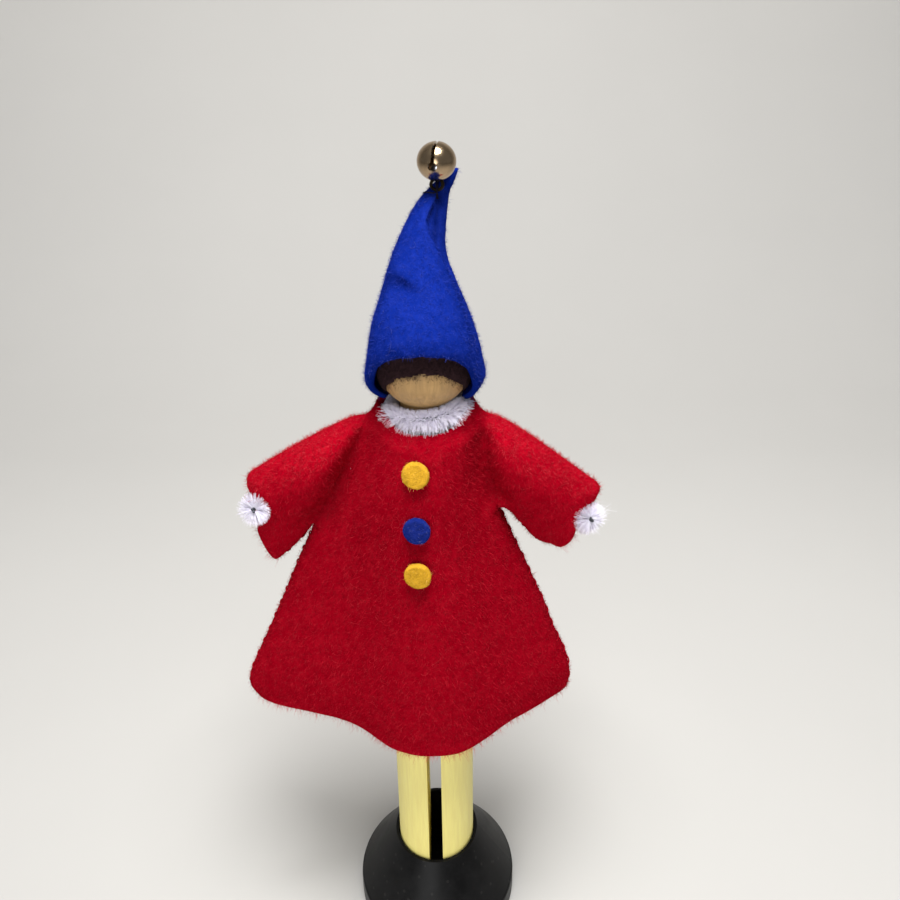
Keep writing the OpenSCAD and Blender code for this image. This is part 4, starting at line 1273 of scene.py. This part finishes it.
class DOLL_OT_chenille(Piece, bpy.types.Operator):
    """Bend the chenille stems into collar, arms and hands"""

    bl_idname = "doll.chenille"
    bl_label = "Collar and Arms"

    # Reach of the collar's pile in front, by degrees from outward, where 90 is up
    front_reach = [(-180, 1.5), (-135, 2.0), (-90, 2.5), (-45, 2.75), (0, 2.4), (45, 1.95),
                   (90, 1.7), (135, 1.5), (180, 1.5)]
    # The same at the sides and behind, where the felt and the hat press on it
    back_reach = [(-180, 1.4), (-135, 1.7), (-90, 1.95), (-45, 1.2), (0, 0.9), (45, 0.8),
                  (90, 0.7), (135, 0.9), (180, 1.4)]
    # Height of the coat's edge round the collar, from the front to the sides
    coat_edge = [(0, 102.5), (0.58, 102.9), (0.88, 104.0), (1, 104.4)]
    collar_z, collar_r, collar_lean = 104.5, 5.3, -5
    # Where the collar's and the wrap's stems start, and how far round they go, in degrees
    collar_start, collar_sweep, wrap_start, wrap_sweep = 96, 348, 100, 340
    # The turns of pile along the collar, and how far it stands out inside the coat's edge
    collar_twists, inside_edge = 10.5, 0.75
    wrap_z, wrap_r, wrap_strands, stub_strands = 99.3, 5.2, 620, 90
    # Pile starts this far out from its wire's middle
    root_r = 0.3
    # Where each stem's end turns forward to, the way it points there, and the bent length
    hand_end = {1: (24.7, -2.7, 85.1), -1: (-26.1, -3.2, 88.0)}
    hand_way = {1: (0.45, -0.85, 0.1), -1: (-0.15, -0.95, 0.25)}
    hand_long = 4.6
    # The thin pile in a sleeve starts this far from the joint, and ends where the ball starts
    plain_start, plain_strands, plain_reach, ball_long = 3.6, 300, 1.2, 3.7
    # Long stray strands of each hand, and how much longer the longest are
    stray = {1: (30, 1.9), -1: (4, 0.9)}

    def build(self, context):
        sizes = context.scene.doll_chenille
        pile, wire = chenille_material(colours().chenille), wire_material()
        for node in ("collar_wire", "neck_wrap_wire", "left_arm_wire", "right_arm_wire"):
            dress(node, wire)
        rng = np.random.default_rng(23)

        def add_strands(name, body, mesh):
            piece = make_piece(f"{name}_strands", *mesh, pile, smooth=False)
            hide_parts(f"{name}_pile")
            self.attach(body, "white_chenille", piece)

        add_strands("collar", "doll", self.collar(sizes, rng))
        add_strands("neck_wrap", "doll", self.wrap(sizes, rng))
        for side, arm in ARMS.items():
            add_strands(arm, arm, self.arm(side, sizes, rng))
            end = make_piece(f"{arm}_stem_end", *self.stem_end(side), wire)
            self.attach(arm, "stem_wire", end)

    def collar(self, sizes, rng):
        """Pile that stands out from the stem all round, squashed at the sides and behind."""
        count = sizes.collar_strands
        t = (np.arange(count) + rng.random(count)) / count
        turn = np.radians(self.collar_start + self.collar_sweep * t)
        twist = 2 * math.pi * self.collar_twists * t + math.pi * (np.arange(count) % 2)
        a = twist + rng.normal(size=count) * 1.0
        degrees = np.degrees(np.mod(a + math.pi, 2 * math.pi) - math.pi)
        front = ease((-np.sin(turn) + 0.12 - 0.24 * np.sin(a)) / 0.5)
        reach = lerp(look_up(self.back_reach, degrees), look_up(self.front_reach, degrees), front)
        reach = reach * (0.82 + 0.19 * rng.random(count))
        # Pile that would meet the coat's edge stays inside it
        rim = look_up(self.coat_edge, np.abs(np.cos(turn))) - 0.1
        over = self.collar_z + np.tan(a) * 1.7 > rim
        limit = self.inside_edge / np.maximum(np.cos(a), 0.05)
        reach = np.where((np.cos(a) > 0.05) & ~over, np.minimum(reach, limit), reach)
        out = np.stack([np.cos(turn), np.sin(turn), 0 * turn], axis=1)
        way = np.stack([-np.sin(turn), np.cos(turn), 0 * turn], axis=1)
        ray = around(a, out, UP)
        feet = out * self.collar_r + ray * self.root_r
        sway = way * (rng.normal(size=count) * 0.42)[:, None]
        tips = out * self.collar_r + ray * reach[:, None] + sway
        bend = (way * rng.normal(size=(count, 1)) + UP * rng.normal(size=(count, 1))) * 0.13
        c, s = cos_sin(self.collar_lean)
        lean_over = np.array([[c, 0, s], [0, 1, 0], [-s, 0, c]])
        feet, tips, bend = (v @ lean_over.T for v in (feet, tips, bend))
        middle = UP * self.collar_z
        return strand_mesh(feet + middle, tips + middle, bend, sizes.strand_width)

    def wrap(self, sizes, rng):
        """Pile flattened round the neck, under the coat, and out to both armholes."""
        count = self.wrap_strands
        turn = np.radians(self.wrap_start + self.wrap_sweep * rng.random(count))
        out = np.stack([np.cos(turn), np.sin(turn), 0 * turn], axis=1)
        feet = [out * self.wrap_r + UP * self.wrap_z]
        rays = [any_turn(count, out, UP, rng)]
        for side in ARMS:
            root = np.array([side * self.wrap_r, 0, self.wrap_z])
            run = joint_place(side) / MM - root
            feet.append(root + run * (rng.random(self.stub_strands)[:, None] * 0.85))
            rays.append(any_turn(self.stub_strands, np.array([0, 1, 0]),
                                 np.cross(unit(run), [0, 1, 0]), rng))
        feet, rays = np.vstack(feet), np.vstack(rays)
        reach = 0.85 + 0.35 * rng.random(len(feet))
        return strand_mesh(feet + rays * self.root_r, feet + rays * reach[:, None],
                           rng.normal(size=feet.shape) * 0.04, sizes.strand_width)

    def hub(self, side, s):
        """Places on a stem's bent end, s from 0 to 1, and the frame at each."""
        pivot, run, long = self.stem(side)
        reach, end = self.hand_long, np.array(self.hand_end[side])
        ahead, root = unit(np.array(self.hand_way[side])), pivot + run * (long - reach)
        s = s[:, None]
        at = root * (2 * s**3 - 3 * s**2 + 1) + run * reach * (s**3 - 2 * s**2 + s) \
            + end * (3 * s**2 - 2 * s**3) + ahead * reach * (s**3 - s**2)
        way = unit(root * (6 * s**2 - 6 * s) + run * reach * (3 * s**2 - 4 * s + 1)
                   + end * (6 * s - 6 * s**2) + ahead * reach * (3 * s**2 - 2 * s))
        up = unit(np.cross(way, np.cross(UP, way)))
        return at, way, up, np.cross(way, up)

    @staticmethod
    def stem(side):
        """The pivot, direction and length of an arm's straight wire."""
        pivot = joint_place(side) / MM
        low, high = in_mm(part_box(f"{ARMS[side]}_wire"))
        run = np.array([high[0] if side > 0 else low[0], 0.0, low[2]]) - pivot
        return pivot, unit(run), np.linalg.norm(run)

    def arm(self, side, sizes, rng):
        """Thin pile inside the sleeve, and a bushy hand whose end turns to the front."""
        pivot, run, long = self.stem(side)
        root, start, hand = long - self.ball_long, self.plain_start, sizes.hand_strands
        z = np.concatenate([start + (root - start) * rng.random(self.plain_strands),
                            root + 3.6 * rng.random(hand // 2)])
        ray = any_turn(len(z), np.array([0, 1.0, 0]), np.cross(run, [0, 1.0, 0]), rng)
        share = np.clip((z - root) / self.ball_long, 0, 1)
        reach = np.where(z < root, self.plain_reach,
                         sizes.hand_radius * lerp(0.7, 0.95, ease(share * 1.6)))
        feet = pivot + run * z[:, None]
        tips = feet + ray * (reach * (0.82 + 0.2 * rng.random(len(z))))[:, None] \
            + run * (rng.normal(size=len(z)) * 0.2)[:, None]
        bits = [strand_mesh(feet + ray * self.root_r, tips, rng.normal(size=feet.shape) * 0.1,
                            sizes.strand_width)]
        s = rng.random(hand) ** 0.6
        at, way, up, across = self.hub(side, s)
        ray = any_turn(hand, up, across, rng)
        reach = sizes.hand_radius * lerp(0.45, 0.86, ease(s * 1.2))
        reach = reach * (0.8 + 0.24 * rng.random(hand))
        forward = lerp(-0.2, 0.5, s) + rng.normal(size=hand) * 0.2
        tips = at + way * forward[:, None] + ray * reach[:, None]
        bits.append(strand_mesh(at + ray * self.root_r, tips, rng.normal(size=at.shape) * 0.12,
                                sizes.strand_width))
        count, longer = self.stray[side]
        foot, way, up, across = self.hub(side, np.full(count, 0.9))
        ray = any_turn(count, up, across, rng) + np.array([side * 0.7, 0, 0])
        tip = foot + ray * (1.2 + longer * rng.random((count, 1)))
        bits.append(strand_mesh(foot, tip, rng.normal(size=tip.shape) * 0.5, 0.032, 0.625))
        return gather(bits)

    def stem_end(self, side):
        """The twisted pair of wires that shows in the middle of a hand."""
        s = np.linspace(0.7, 1.0, 16)
        at, way, up, across = self.hub(side, s)
        at = at + way * 0.45 * s[:, None]
        aside = around(s * 7.0, up, across) * 0.2
        return gather([tube(at + aside, 0.2, 10), tube(at - aside, 0.2, 10)])


class DOLL_OT_hair(Piece, bpy.types.Operator):
    """Mat the dark wool hair over the head"""

    bl_idname = "doll.hair"
    bl_label = "Hair"

    head, head_r = np.array([0.0, 0.0, 111.2]), 6.9
    # The hair ends on a plane that leans back by this much, and no lower than its lowest share
    lean = np.array([0.0, math.sin(math.radians(42)), math.cos(math.radians(42))])
    line, lowest = -0.545, -0.66
    rows, turns, reach = 64, 120, math.pi * 0.78
    tries, locks_kept = 30000, 6000

    def build(self, context):
        material = hair_material(colours().hair)
        shell, locks = self.shell(material), self.locks(material, np.random.default_rng(31))
        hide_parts("hair")
        self.attach("doll", "hair_wool", shell, locks)

    def edge(self, way):
        """How far inside the hair line a direction from the head's middle lies."""
        ragged = 0.03 * noise_at(way, 2.6) + 0.02 * noise_at(way, 9)
        slant = way @ self.lean - self.line + 0.16 * way[:, 0] ** 2 + ragged
        return np.minimum(slant, way[:, 2] - self.lowest + ragged)

    def shell(self, material):
        """A matted cap with an outer and an inner face, closed along the hair line."""
        turns = self.turns
        ways = np.array([(math.sin(tilt) * math.cos(a), math.sin(tilt) * math.sin(a),
                          math.cos(tilt))
                         for tilt in (self.reach * j / self.rows for j in range(self.rows + 1))
                         for a in (2 * math.pi * k / turns for k in range(turns))])
        inside = self.edge(ways)
        thick = 0.06 + 0.3 * ease(inside / 0.1) * (0.8 + 0.25 * noise_at(ways, 6))
        outer = self.head + ways * (self.head_r + thick)[:, None]
        inner = self.head + ways * (self.head_r + 0.02)
        quads = ring_quads(self.rows, turns)[:, [0, 3, 2, 1]]
        quads = quads[(inside > 0)[quads].all(axis=1)].tolist()
        count = len(ways)
        faces = [f for q in quads for f in (q, [v + count for v in q[::-1]])]
        edges = {(q[i], q[(i + 1) % 4]) for q in quads for i in range(4)}
        faces += [[b, a, a + count, b + count] for a, b in sorted(edges)
                  if (b, a) not in edges and not (a < turns and b < turns)]
        return make_piece("hair_matted_wool", np.vstack([outer, inner]), faces, material)

    def locks(self, material, rng):
        """Short locks lying on the head, loosest along the hair line, a few straying below it onto
        the face as partly painted shade for the brim's soft shadow.
        """
        way = unit(rng.normal(size=(self.tries, 3)))
        inside = self.edge(way)
        # Locks allowed below the hair line are dark wisps that also stand in, as painted shade, for
        # the shadow under the hat's brim
        stray = -0.12 * rng.random(len(way)) ** 2
        near = (inside > stray) & (inside < 0.9) & (way[:, 1] < 0.75)
        way, inside = way[near][: self.locks_kept], inside[near][: self.locks_kept]
        full = ease(inside / 0.1)
        down = unit(-self.lean - (-(way @ self.lean))[:, None] * way)
        run = unit(down * (0.2 + 0.5 * full)[:, None] + sideways(way, rng) * 0.8)
        at = self.head + way * (self.head_r + 0.1 + 0.2 * full)[:, None]
        lengths = (0.35 + 0.7 * rng.random(len(way))) * (0.6 + 0.6 * full)
        p, f = ribbons(at, unit(way * 0.6 + run), unit(run - way * 0.05), lengths, 0.036)
        return make_piece("hair_loose_locks", p, f, material)


HAT_ROWS, HAT_TURNS = 110, 132
BRIM_R = 8.7
BRIM_Z = 106.3
HAT_H = 29.4
# By share of the hat's height: its width as a share of the brim's, and its middle's X and Y
HAT_WIDTH = [(0, 1), (0.1, 0.99), (0.17, 0.972), (0.28, 0.9), (0.386, 0.77), (0.48, 0.63),
             (0.586, 0.49), (0.68, 0.405), (0.746, 0.362), (0.824, 0.3), (0.88, 0.235),
             (0.93, 0.165), (0.97, 0.11), (1, 0.05)]
HAT_LEAN = [(0, 0), (0.2, 0), (0.386, -0.35), (0.52, -0.62), (0.62, -0.6), (0.746, 0.3),
            (0.824, 1.15), (0.92, 2.6), (1, 5.0)]
HAT_BACK = [(0, 0), (0.1, 0.25), (0.17, 0.65), (0.28, 2.34), (0.386, 4.68), (0.48, 6.4),
            (0.586, 8.06), (0.746, 10.4), (0.824, 11.44), (0.92, 12.9), (1, 13.3)]
# Height of the brim's edge over BRIM_Z, and how far it curls in, by degrees from the front
HAT_BRIM = [(0, 10.1), (20, 9.6), (35, 8.5), (50, 6.6), (58, 4.5), (63, 2.7), (68, 1.1),
            (76, -0.2), (90, -0.5), (120, -0.7), (140, -1.4), (180, -2.4)]
HAT_CURL = [(0, 2.4), (95, 2.4), (120, 1.0), (140, 0.2), (180, 0)]
HAT_SKEW = 3.0
# The fold down the front: how deep the felt tucks in beside it, and how far it swells before it
TUCK_DEPTH, TUCK_SWELL = 1.4, 0.38
# The dent beside it: its height, its place round the hat, its depth and the swell above it
DENT_T, DENT_TURN, DENT_DEPTH, DENT_SWELL = 0.375, -114, 1.9, 0.4


def bell_curve(x, width):
    return np.exp(-((x / width) ** 2))


def half_turned(a):
    """An angle brought between half a turn back and half a turn on."""
    return np.mod(a + np.pi, 2 * np.pi) - np.pi


def hat_surface(t, a, depth):
    """Points of the hat at share t of its height and angle a, this far under its face."""
    width, x, y = (eased_look_up(table, t, 0.045, 0.02)
                   for table in (HAT_WIDTH, HAT_LEAN, HAT_BACK))
    s = np.sin(a)
    front = np.degrees(np.arccos(np.clip(-s, -1, 1))) + HAT_SKEW * np.cos(a)
    z = BRIM_Z + HAT_H * t + (1 - t) ** 1.5 * look_up(HAT_BRIM, np.abs(front))
    curl = look_up(HAT_CURL, np.abs(front)) * np.clip((109.3 - z) / 3.3, 0, 1) ** 1.6
    # A fold slants down the front, with the felt tucked in on its left
    off = half_turned(a - np.radians(-92 + np.maximum(0.75 - t, 0) * 270))
    band = ease((t - 0.5) / 0.09) * ease((0.93 - t) / 0.08)
    tuck = -TUCK_DEPTH * band * ease(off / 0.34) * (off > 0) \
        * ease((np.radians(22) - half_turned(a)) / 0.9) \
        + TUCK_SWELL * band * bell_curve(off + 0.25, 0.28)
    dent_a = half_turned(a - np.radians(DENT_TURN))
    slant = t - DENT_T + 0.07 * dent_a
    dent = (DENT_SWELL * bell_curve(slant - 0.12, 0.06) - DENT_DEPTH * bell_curve(slant, 0.07)) \
        * bell_curve(dent_a, 0.58)
    swell = 0.22 * bell_curve(t - 0.06, 0.09)
    r = np.maximum(BRIM_R * width + tuck + dent + swell - curl - depth, 0.12)
    return np.stack([x + r * np.cos(a), y + r * s, z], axis=-1)


class DOLL_OT_hat(Piece, bpy.types.Operator):
    """Roll and sew the felt hat, and tie on the bell's thread"""

    bl_idname = "doll.hat"
    bl_label = "Hat"

    flat = (0.052, 0.04)
    fringe_count, long_count = 900, 60
    # The inner face stops at this share of the height, under the solid tip
    hollow = 0.9
    stitches, first_stitch, stitch_step = 9, 0.05, 0.085

    def build(self, context):
        felt, c = felt_sizes(), colours()
        rng = np.random.default_rng(47)
        cloth = felt_material("blue_wool_felt", c.blue_felt, 0.11, 0.14)
        points, faces, outer, skin = self.cone(felt)
        hat = make_piece("hat_felt", points, faces, cloth)
        normals, area = vertex_normals(outer, skin), face_areas(outer, skin).sum()
        at, n = scattered(outer, skin, normals, int(area / 100 * felt.fibres_per_cm2 * 1.1), rng)
        nap = fuzz(at, n, rng, felt.fibre_length * 0.9, 1.4, felt.fibre_width)
        ring = rng.integers(0, HAT_TURNS, self.fringe_count)
        away = unit(-UP + 0.8 * normals[ring])
        spread = rng.normal(size=away.shape) * 0.2
        fringe = fuzz(outer[ring] + spread * [1, 1, 0.4], away, rng, 0.7, 0.9, felt.fibre_width)
        long = long_fibres(outer, skin, normals, self.long_count, felt.fibre_width, rng)
        fluff = make_piece("hat_fibres", *gather([nap, fringe, long]),
                           (fibre_material("blue_felt_fibres", c.blue_felt, 0.012, 1.5),
                            fibre_material("pale_blue_fibres", c.blue_felt, 0.05, 1.5)),
                           first=(0, len(nap[1])))
        seam = make_piece("hat_seam_loops", *self.seam(felt),
                          thread_material("blue_sewing_thread", tinted(c.blue_felt, 0.7)))
        tie = make_piece("bell_tie", *self.tie(felt),
                         thread_material("dark_sewing_thread", c.dark_thread))
        for piece, node, slot in ((hat, "hat", "blue_felt"), (fluff, None, "blue_felt"),
                                  (seam, "hat_stitches", "blue_thread"),
                                  (tie, "bell_thread", "dark_thread")):
            if node:
                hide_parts(node)
            self.attach("hat", slot, piece)

    @classmethod
    def cone(cls, felt):
        """The hat's points and faces, then those of its outer face alone."""
        t = (np.arange(HAT_ROWS + 1) / HAT_ROWS)[:, None]
        a = np.radians(360 * np.arange(HAT_TURNS) / HAT_TURNS)[None, :]
        outer = hat_surface(t, a, 0.0).reshape(-1, 3)
        inner = hat_surface(t * cls.hollow, a, felt.thickness).reshape(-1, 3)
        quads = ring_quads(HAT_ROWS, HAT_TURNS)
        skin = quads[:, [[0, 1, 2], [0, 2, 3]]].reshape(-1, 3)
        bumpy = 0.11 * lumps(outer, 3.2, 2) + 0.05 * lumps(outer, 1.2, 4)
        fade = ease((1.02 - np.repeat(t[:, 0], HAT_TURNS)) / 0.15)
        outer = outer + vertex_normals(outer, skin) * (bumpy * fade)[:, None]
        count = len(outer)
        faces = skin.tolist() + (skin[:, ::-1] + count).tolist()
        o, i = outer[:HAT_TURNS], inner[:HAT_TURNS]
        rim = [(o + i) / 2 + (o - i) / 2 * c - UP * felt.thickness / 2 * 0.85 * s
               for c, s in map(cos_sin, RIM_TURNS)]
        starts = [0, *(2 * count + j * HAT_TURNS for j in range(len(rim))), count]
        for low, high in zip(starts[:-1], starts[1:]):
            for k in range(HAT_TURNS):
                n = (k + 1) % HAT_TURNS
                faces.append([low + n, low + k, high + k, high + n])
        tip = list(range(count - HAT_TURNS, count))
        faces += [tip, [count + k for k in tip][::-1]]
        return np.vstack([outer, inner] + rim), faces, outer, skin

    @classmethod
    def seam(cls, felt):
        """Slanting stitches up the back."""
        bits = []
        for t in (cls.first_stitch + cls.stitch_step * k for k in range(cls.stitches)):
            loop = []
            for turn in np.linspace(0, 2 * math.pi, 17)[:-1]:
                a = math.radians(90) + 0.5 * math.cos(turn) / max(1.2, BRIM_R * (1 - t))
                lift = 0.42 - 0.62 * (0.5 - 0.5 * math.sin(turn))
                p = hat_surface(np.array(t + 0.012 * math.cos(turn)), np.array(a), 0.0)
                loop.append(p + np.array([0, lift * 0.5, 0]))
            bits.append(tube(loop, felt.thread_width / 2))
        return gather(bits)

    @staticmethod
    def tie(felt):
        """Dark thread through the hat's point and the bell's loop, with a cut tail."""
        low, high = in_mm(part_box("bell_thread"))
        mid = (low + high) / 2
        r = (high[2] - low[2]) / 2 - 0.2
        paths = [[mid + np.array([shift * math.sin(turn), r * math.cos(turn),
                                  r * math.sin(turn)]) for turn in np.linspace(0, 2 * math.pi, 33)]
                 for shift in (-0.13, 0.17)]
        start = mid + np.array([-0.1, -r, 0.1])
        paths.append(smooth_path([start, start + [-0.5, -0.25, -0.1], start + [-1.3, -0.2, 0.05],
                                  start + [-1.9, 0.15, -0.15]], 0.2))
        return gather([tube(path, felt.thread_width * 0.36) for path in paths])


class DOLL_OT_bell(Piece, bpy.types.Operator):
    """Plate the bell and its pellet, and darken its loop with painted shade"""

    bl_idname = "doll.bell"
    bl_label = "Bell"

    def build(self, context):
        c = colours()
        dress("bell_shell", metal_material("pale_gold_plate", c.bell, 0.2))
        # The loop's near-black colour is painted shade, for where it hangs in the dark under the
        # bell and the hat's point
        dress("bell_loop", metal_material("loop_painted_shade_dark", tinted(c.bell, 0.05), 0.45))
        dress("bell_pellet", metal_material("pellet_metal", c.pellet, 0.35))


class DOLL_OT_stage(Piece, bpy.types.Operator):
    """Set the floor, the lamps and the camera"""

    bl_idname = "doll.stage"
    bl_label = "Stage"

    # Place, target and size of each lamp
    key = (15, -70, 420), (0, 0, 80), 200
    fill = (-270, -1110, 250), (0, 0, 70), 780
    sky_colour = (0.97, 0.98, 1.0, 1)

    def build(self, context):
        scene, studio = context.scene, context.scene.doll_studio
        self.floor(colours().floor)
        self.lamp("key_lamp", *self.key, studio.key_power)
        self.lamp("fill_lamp", *self.fill, studio.fill_power)
        self.sky(studio.sky)
        data = bpy.data.cameras.new("photo_camera")
        data.sensor_width = 36
        data.lens = studio.lens
        data.shift_y = -studio.axis_row
        data.clip_start = 0.005
        camera = bpy.data.objects.new("photo_camera", data)
        camera.location = Vector(studio.place) * MM
        turn = Euler((math.pi / 2 - studio.pitch, 0, 0)).to_matrix()
        turn = turn @ Euler((0, 0, -studio.roll)).to_matrix()
        camera.rotation_euler = turn.to_euler()
        scene.collection.objects.link(camera)
        scene.camera = camera
        scene.view_settings.view_transform = "Standard"

    @staticmethod
    def floor(colour):
        """A level sheet that curves up far behind into a backdrop."""
        wide, near, far, bend, top = 1500, -1400, 150, 170, 1800.0
        profile = [(near, 0.0), (-300, 0.0), (far, 0.0)]
        for c, s in map(cos_sin, range(10, 91, 10)):
            profile.append((far + bend * s, bend * (1 - c)))
        profile.append((far + bend, top))
        points = [(x, y, z) for y, z in profile for x in (-wide, wide)]
        faces = [[2 * k, 2 * k + 1, 2 * k + 3, 2 * k + 2] for k in range(len(profile) - 1)]
        return make_piece("floor_sheet", points, faces, floor_material(colour))

    @staticmethod
    def lamp(name, place, target, size, power):
        data = bpy.data.lights.new(name, "AREA")
        data.shape = "DISK"
        data.size = size * MM
        data.energy = power
        lamp = bpy.data.objects.new(name, data)
        lamp.location = Vector(place) * MM
        lamp.rotation_euler = (Vector(target) - Vector(place)).to_track_quat("-Z", "Y").to_euler()
        bpy.context.scene.collection.objects.link(lamp)

    @classmethod
    def sky(cls, strength):
        world = bpy.data.worlds.new("even_sky")
        world.use_nodes = True
        back = world.node_tree.nodes["Background"]
        back.inputs["Color"].default_value = cls.sky_colour
        back.inputs["Strength"].default_value = strength
        bpy.context.scene.world = world


class DOLL_PT_panel(bpy.types.Panel):
    """The doll's pieces and settings"""

    bl_idname = "DOLL_PT_panel"
    bl_label = "Peg Doll"
    bl_space_type = "VIEW_3D"
    bl_region_type = "UI"
    bl_category = "Peg Doll"

    def draw(self, context):
        for operator in OPERATORS:
            self.layout.operator(operator.bl_idname)
        for name, group in GROUPS.items():
            box = self.layout.box()
            for field in group.__annotations__:
                box.prop(getattr(context.scene, name), field)


OPERATORS = (DOLL_OT_stage, DOLL_OT_wood, DOLL_OT_garment, DOLL_OT_buttons, DOLL_OT_chenille,
             DOLL_OT_hair, DOLL_OT_hat, DOLL_OT_bell)
CLASSES = (*GROUPS.values(), *OPERATORS, DOLL_PT_panel)


def register():
    for cls in CLASSES:
        bpy.utils.register_class(cls)
    for name, group in GROUPS.items():
        setattr(bpy.types.Scene, name, PointerProperty(type=group))


def unregister():
    for name in GROUPS:
        delattr(bpy.types.Scene, name)
    for cls in reversed(CLASSES):
        bpy.utils.unregister_class(cls)


def main():
    register()
    bpy.ops.doll.stage()
    bpy.ops.doll.wood()
    bpy.ops.doll.garment()
    bpy.ops.doll.buttons()
    bpy.ops.doll.chenille()
    bpy.ops.doll.hair()
    bpy.ops.doll.hat()
    bpy.ops.doll.bell()


if __name__ == "__main__":
    main()
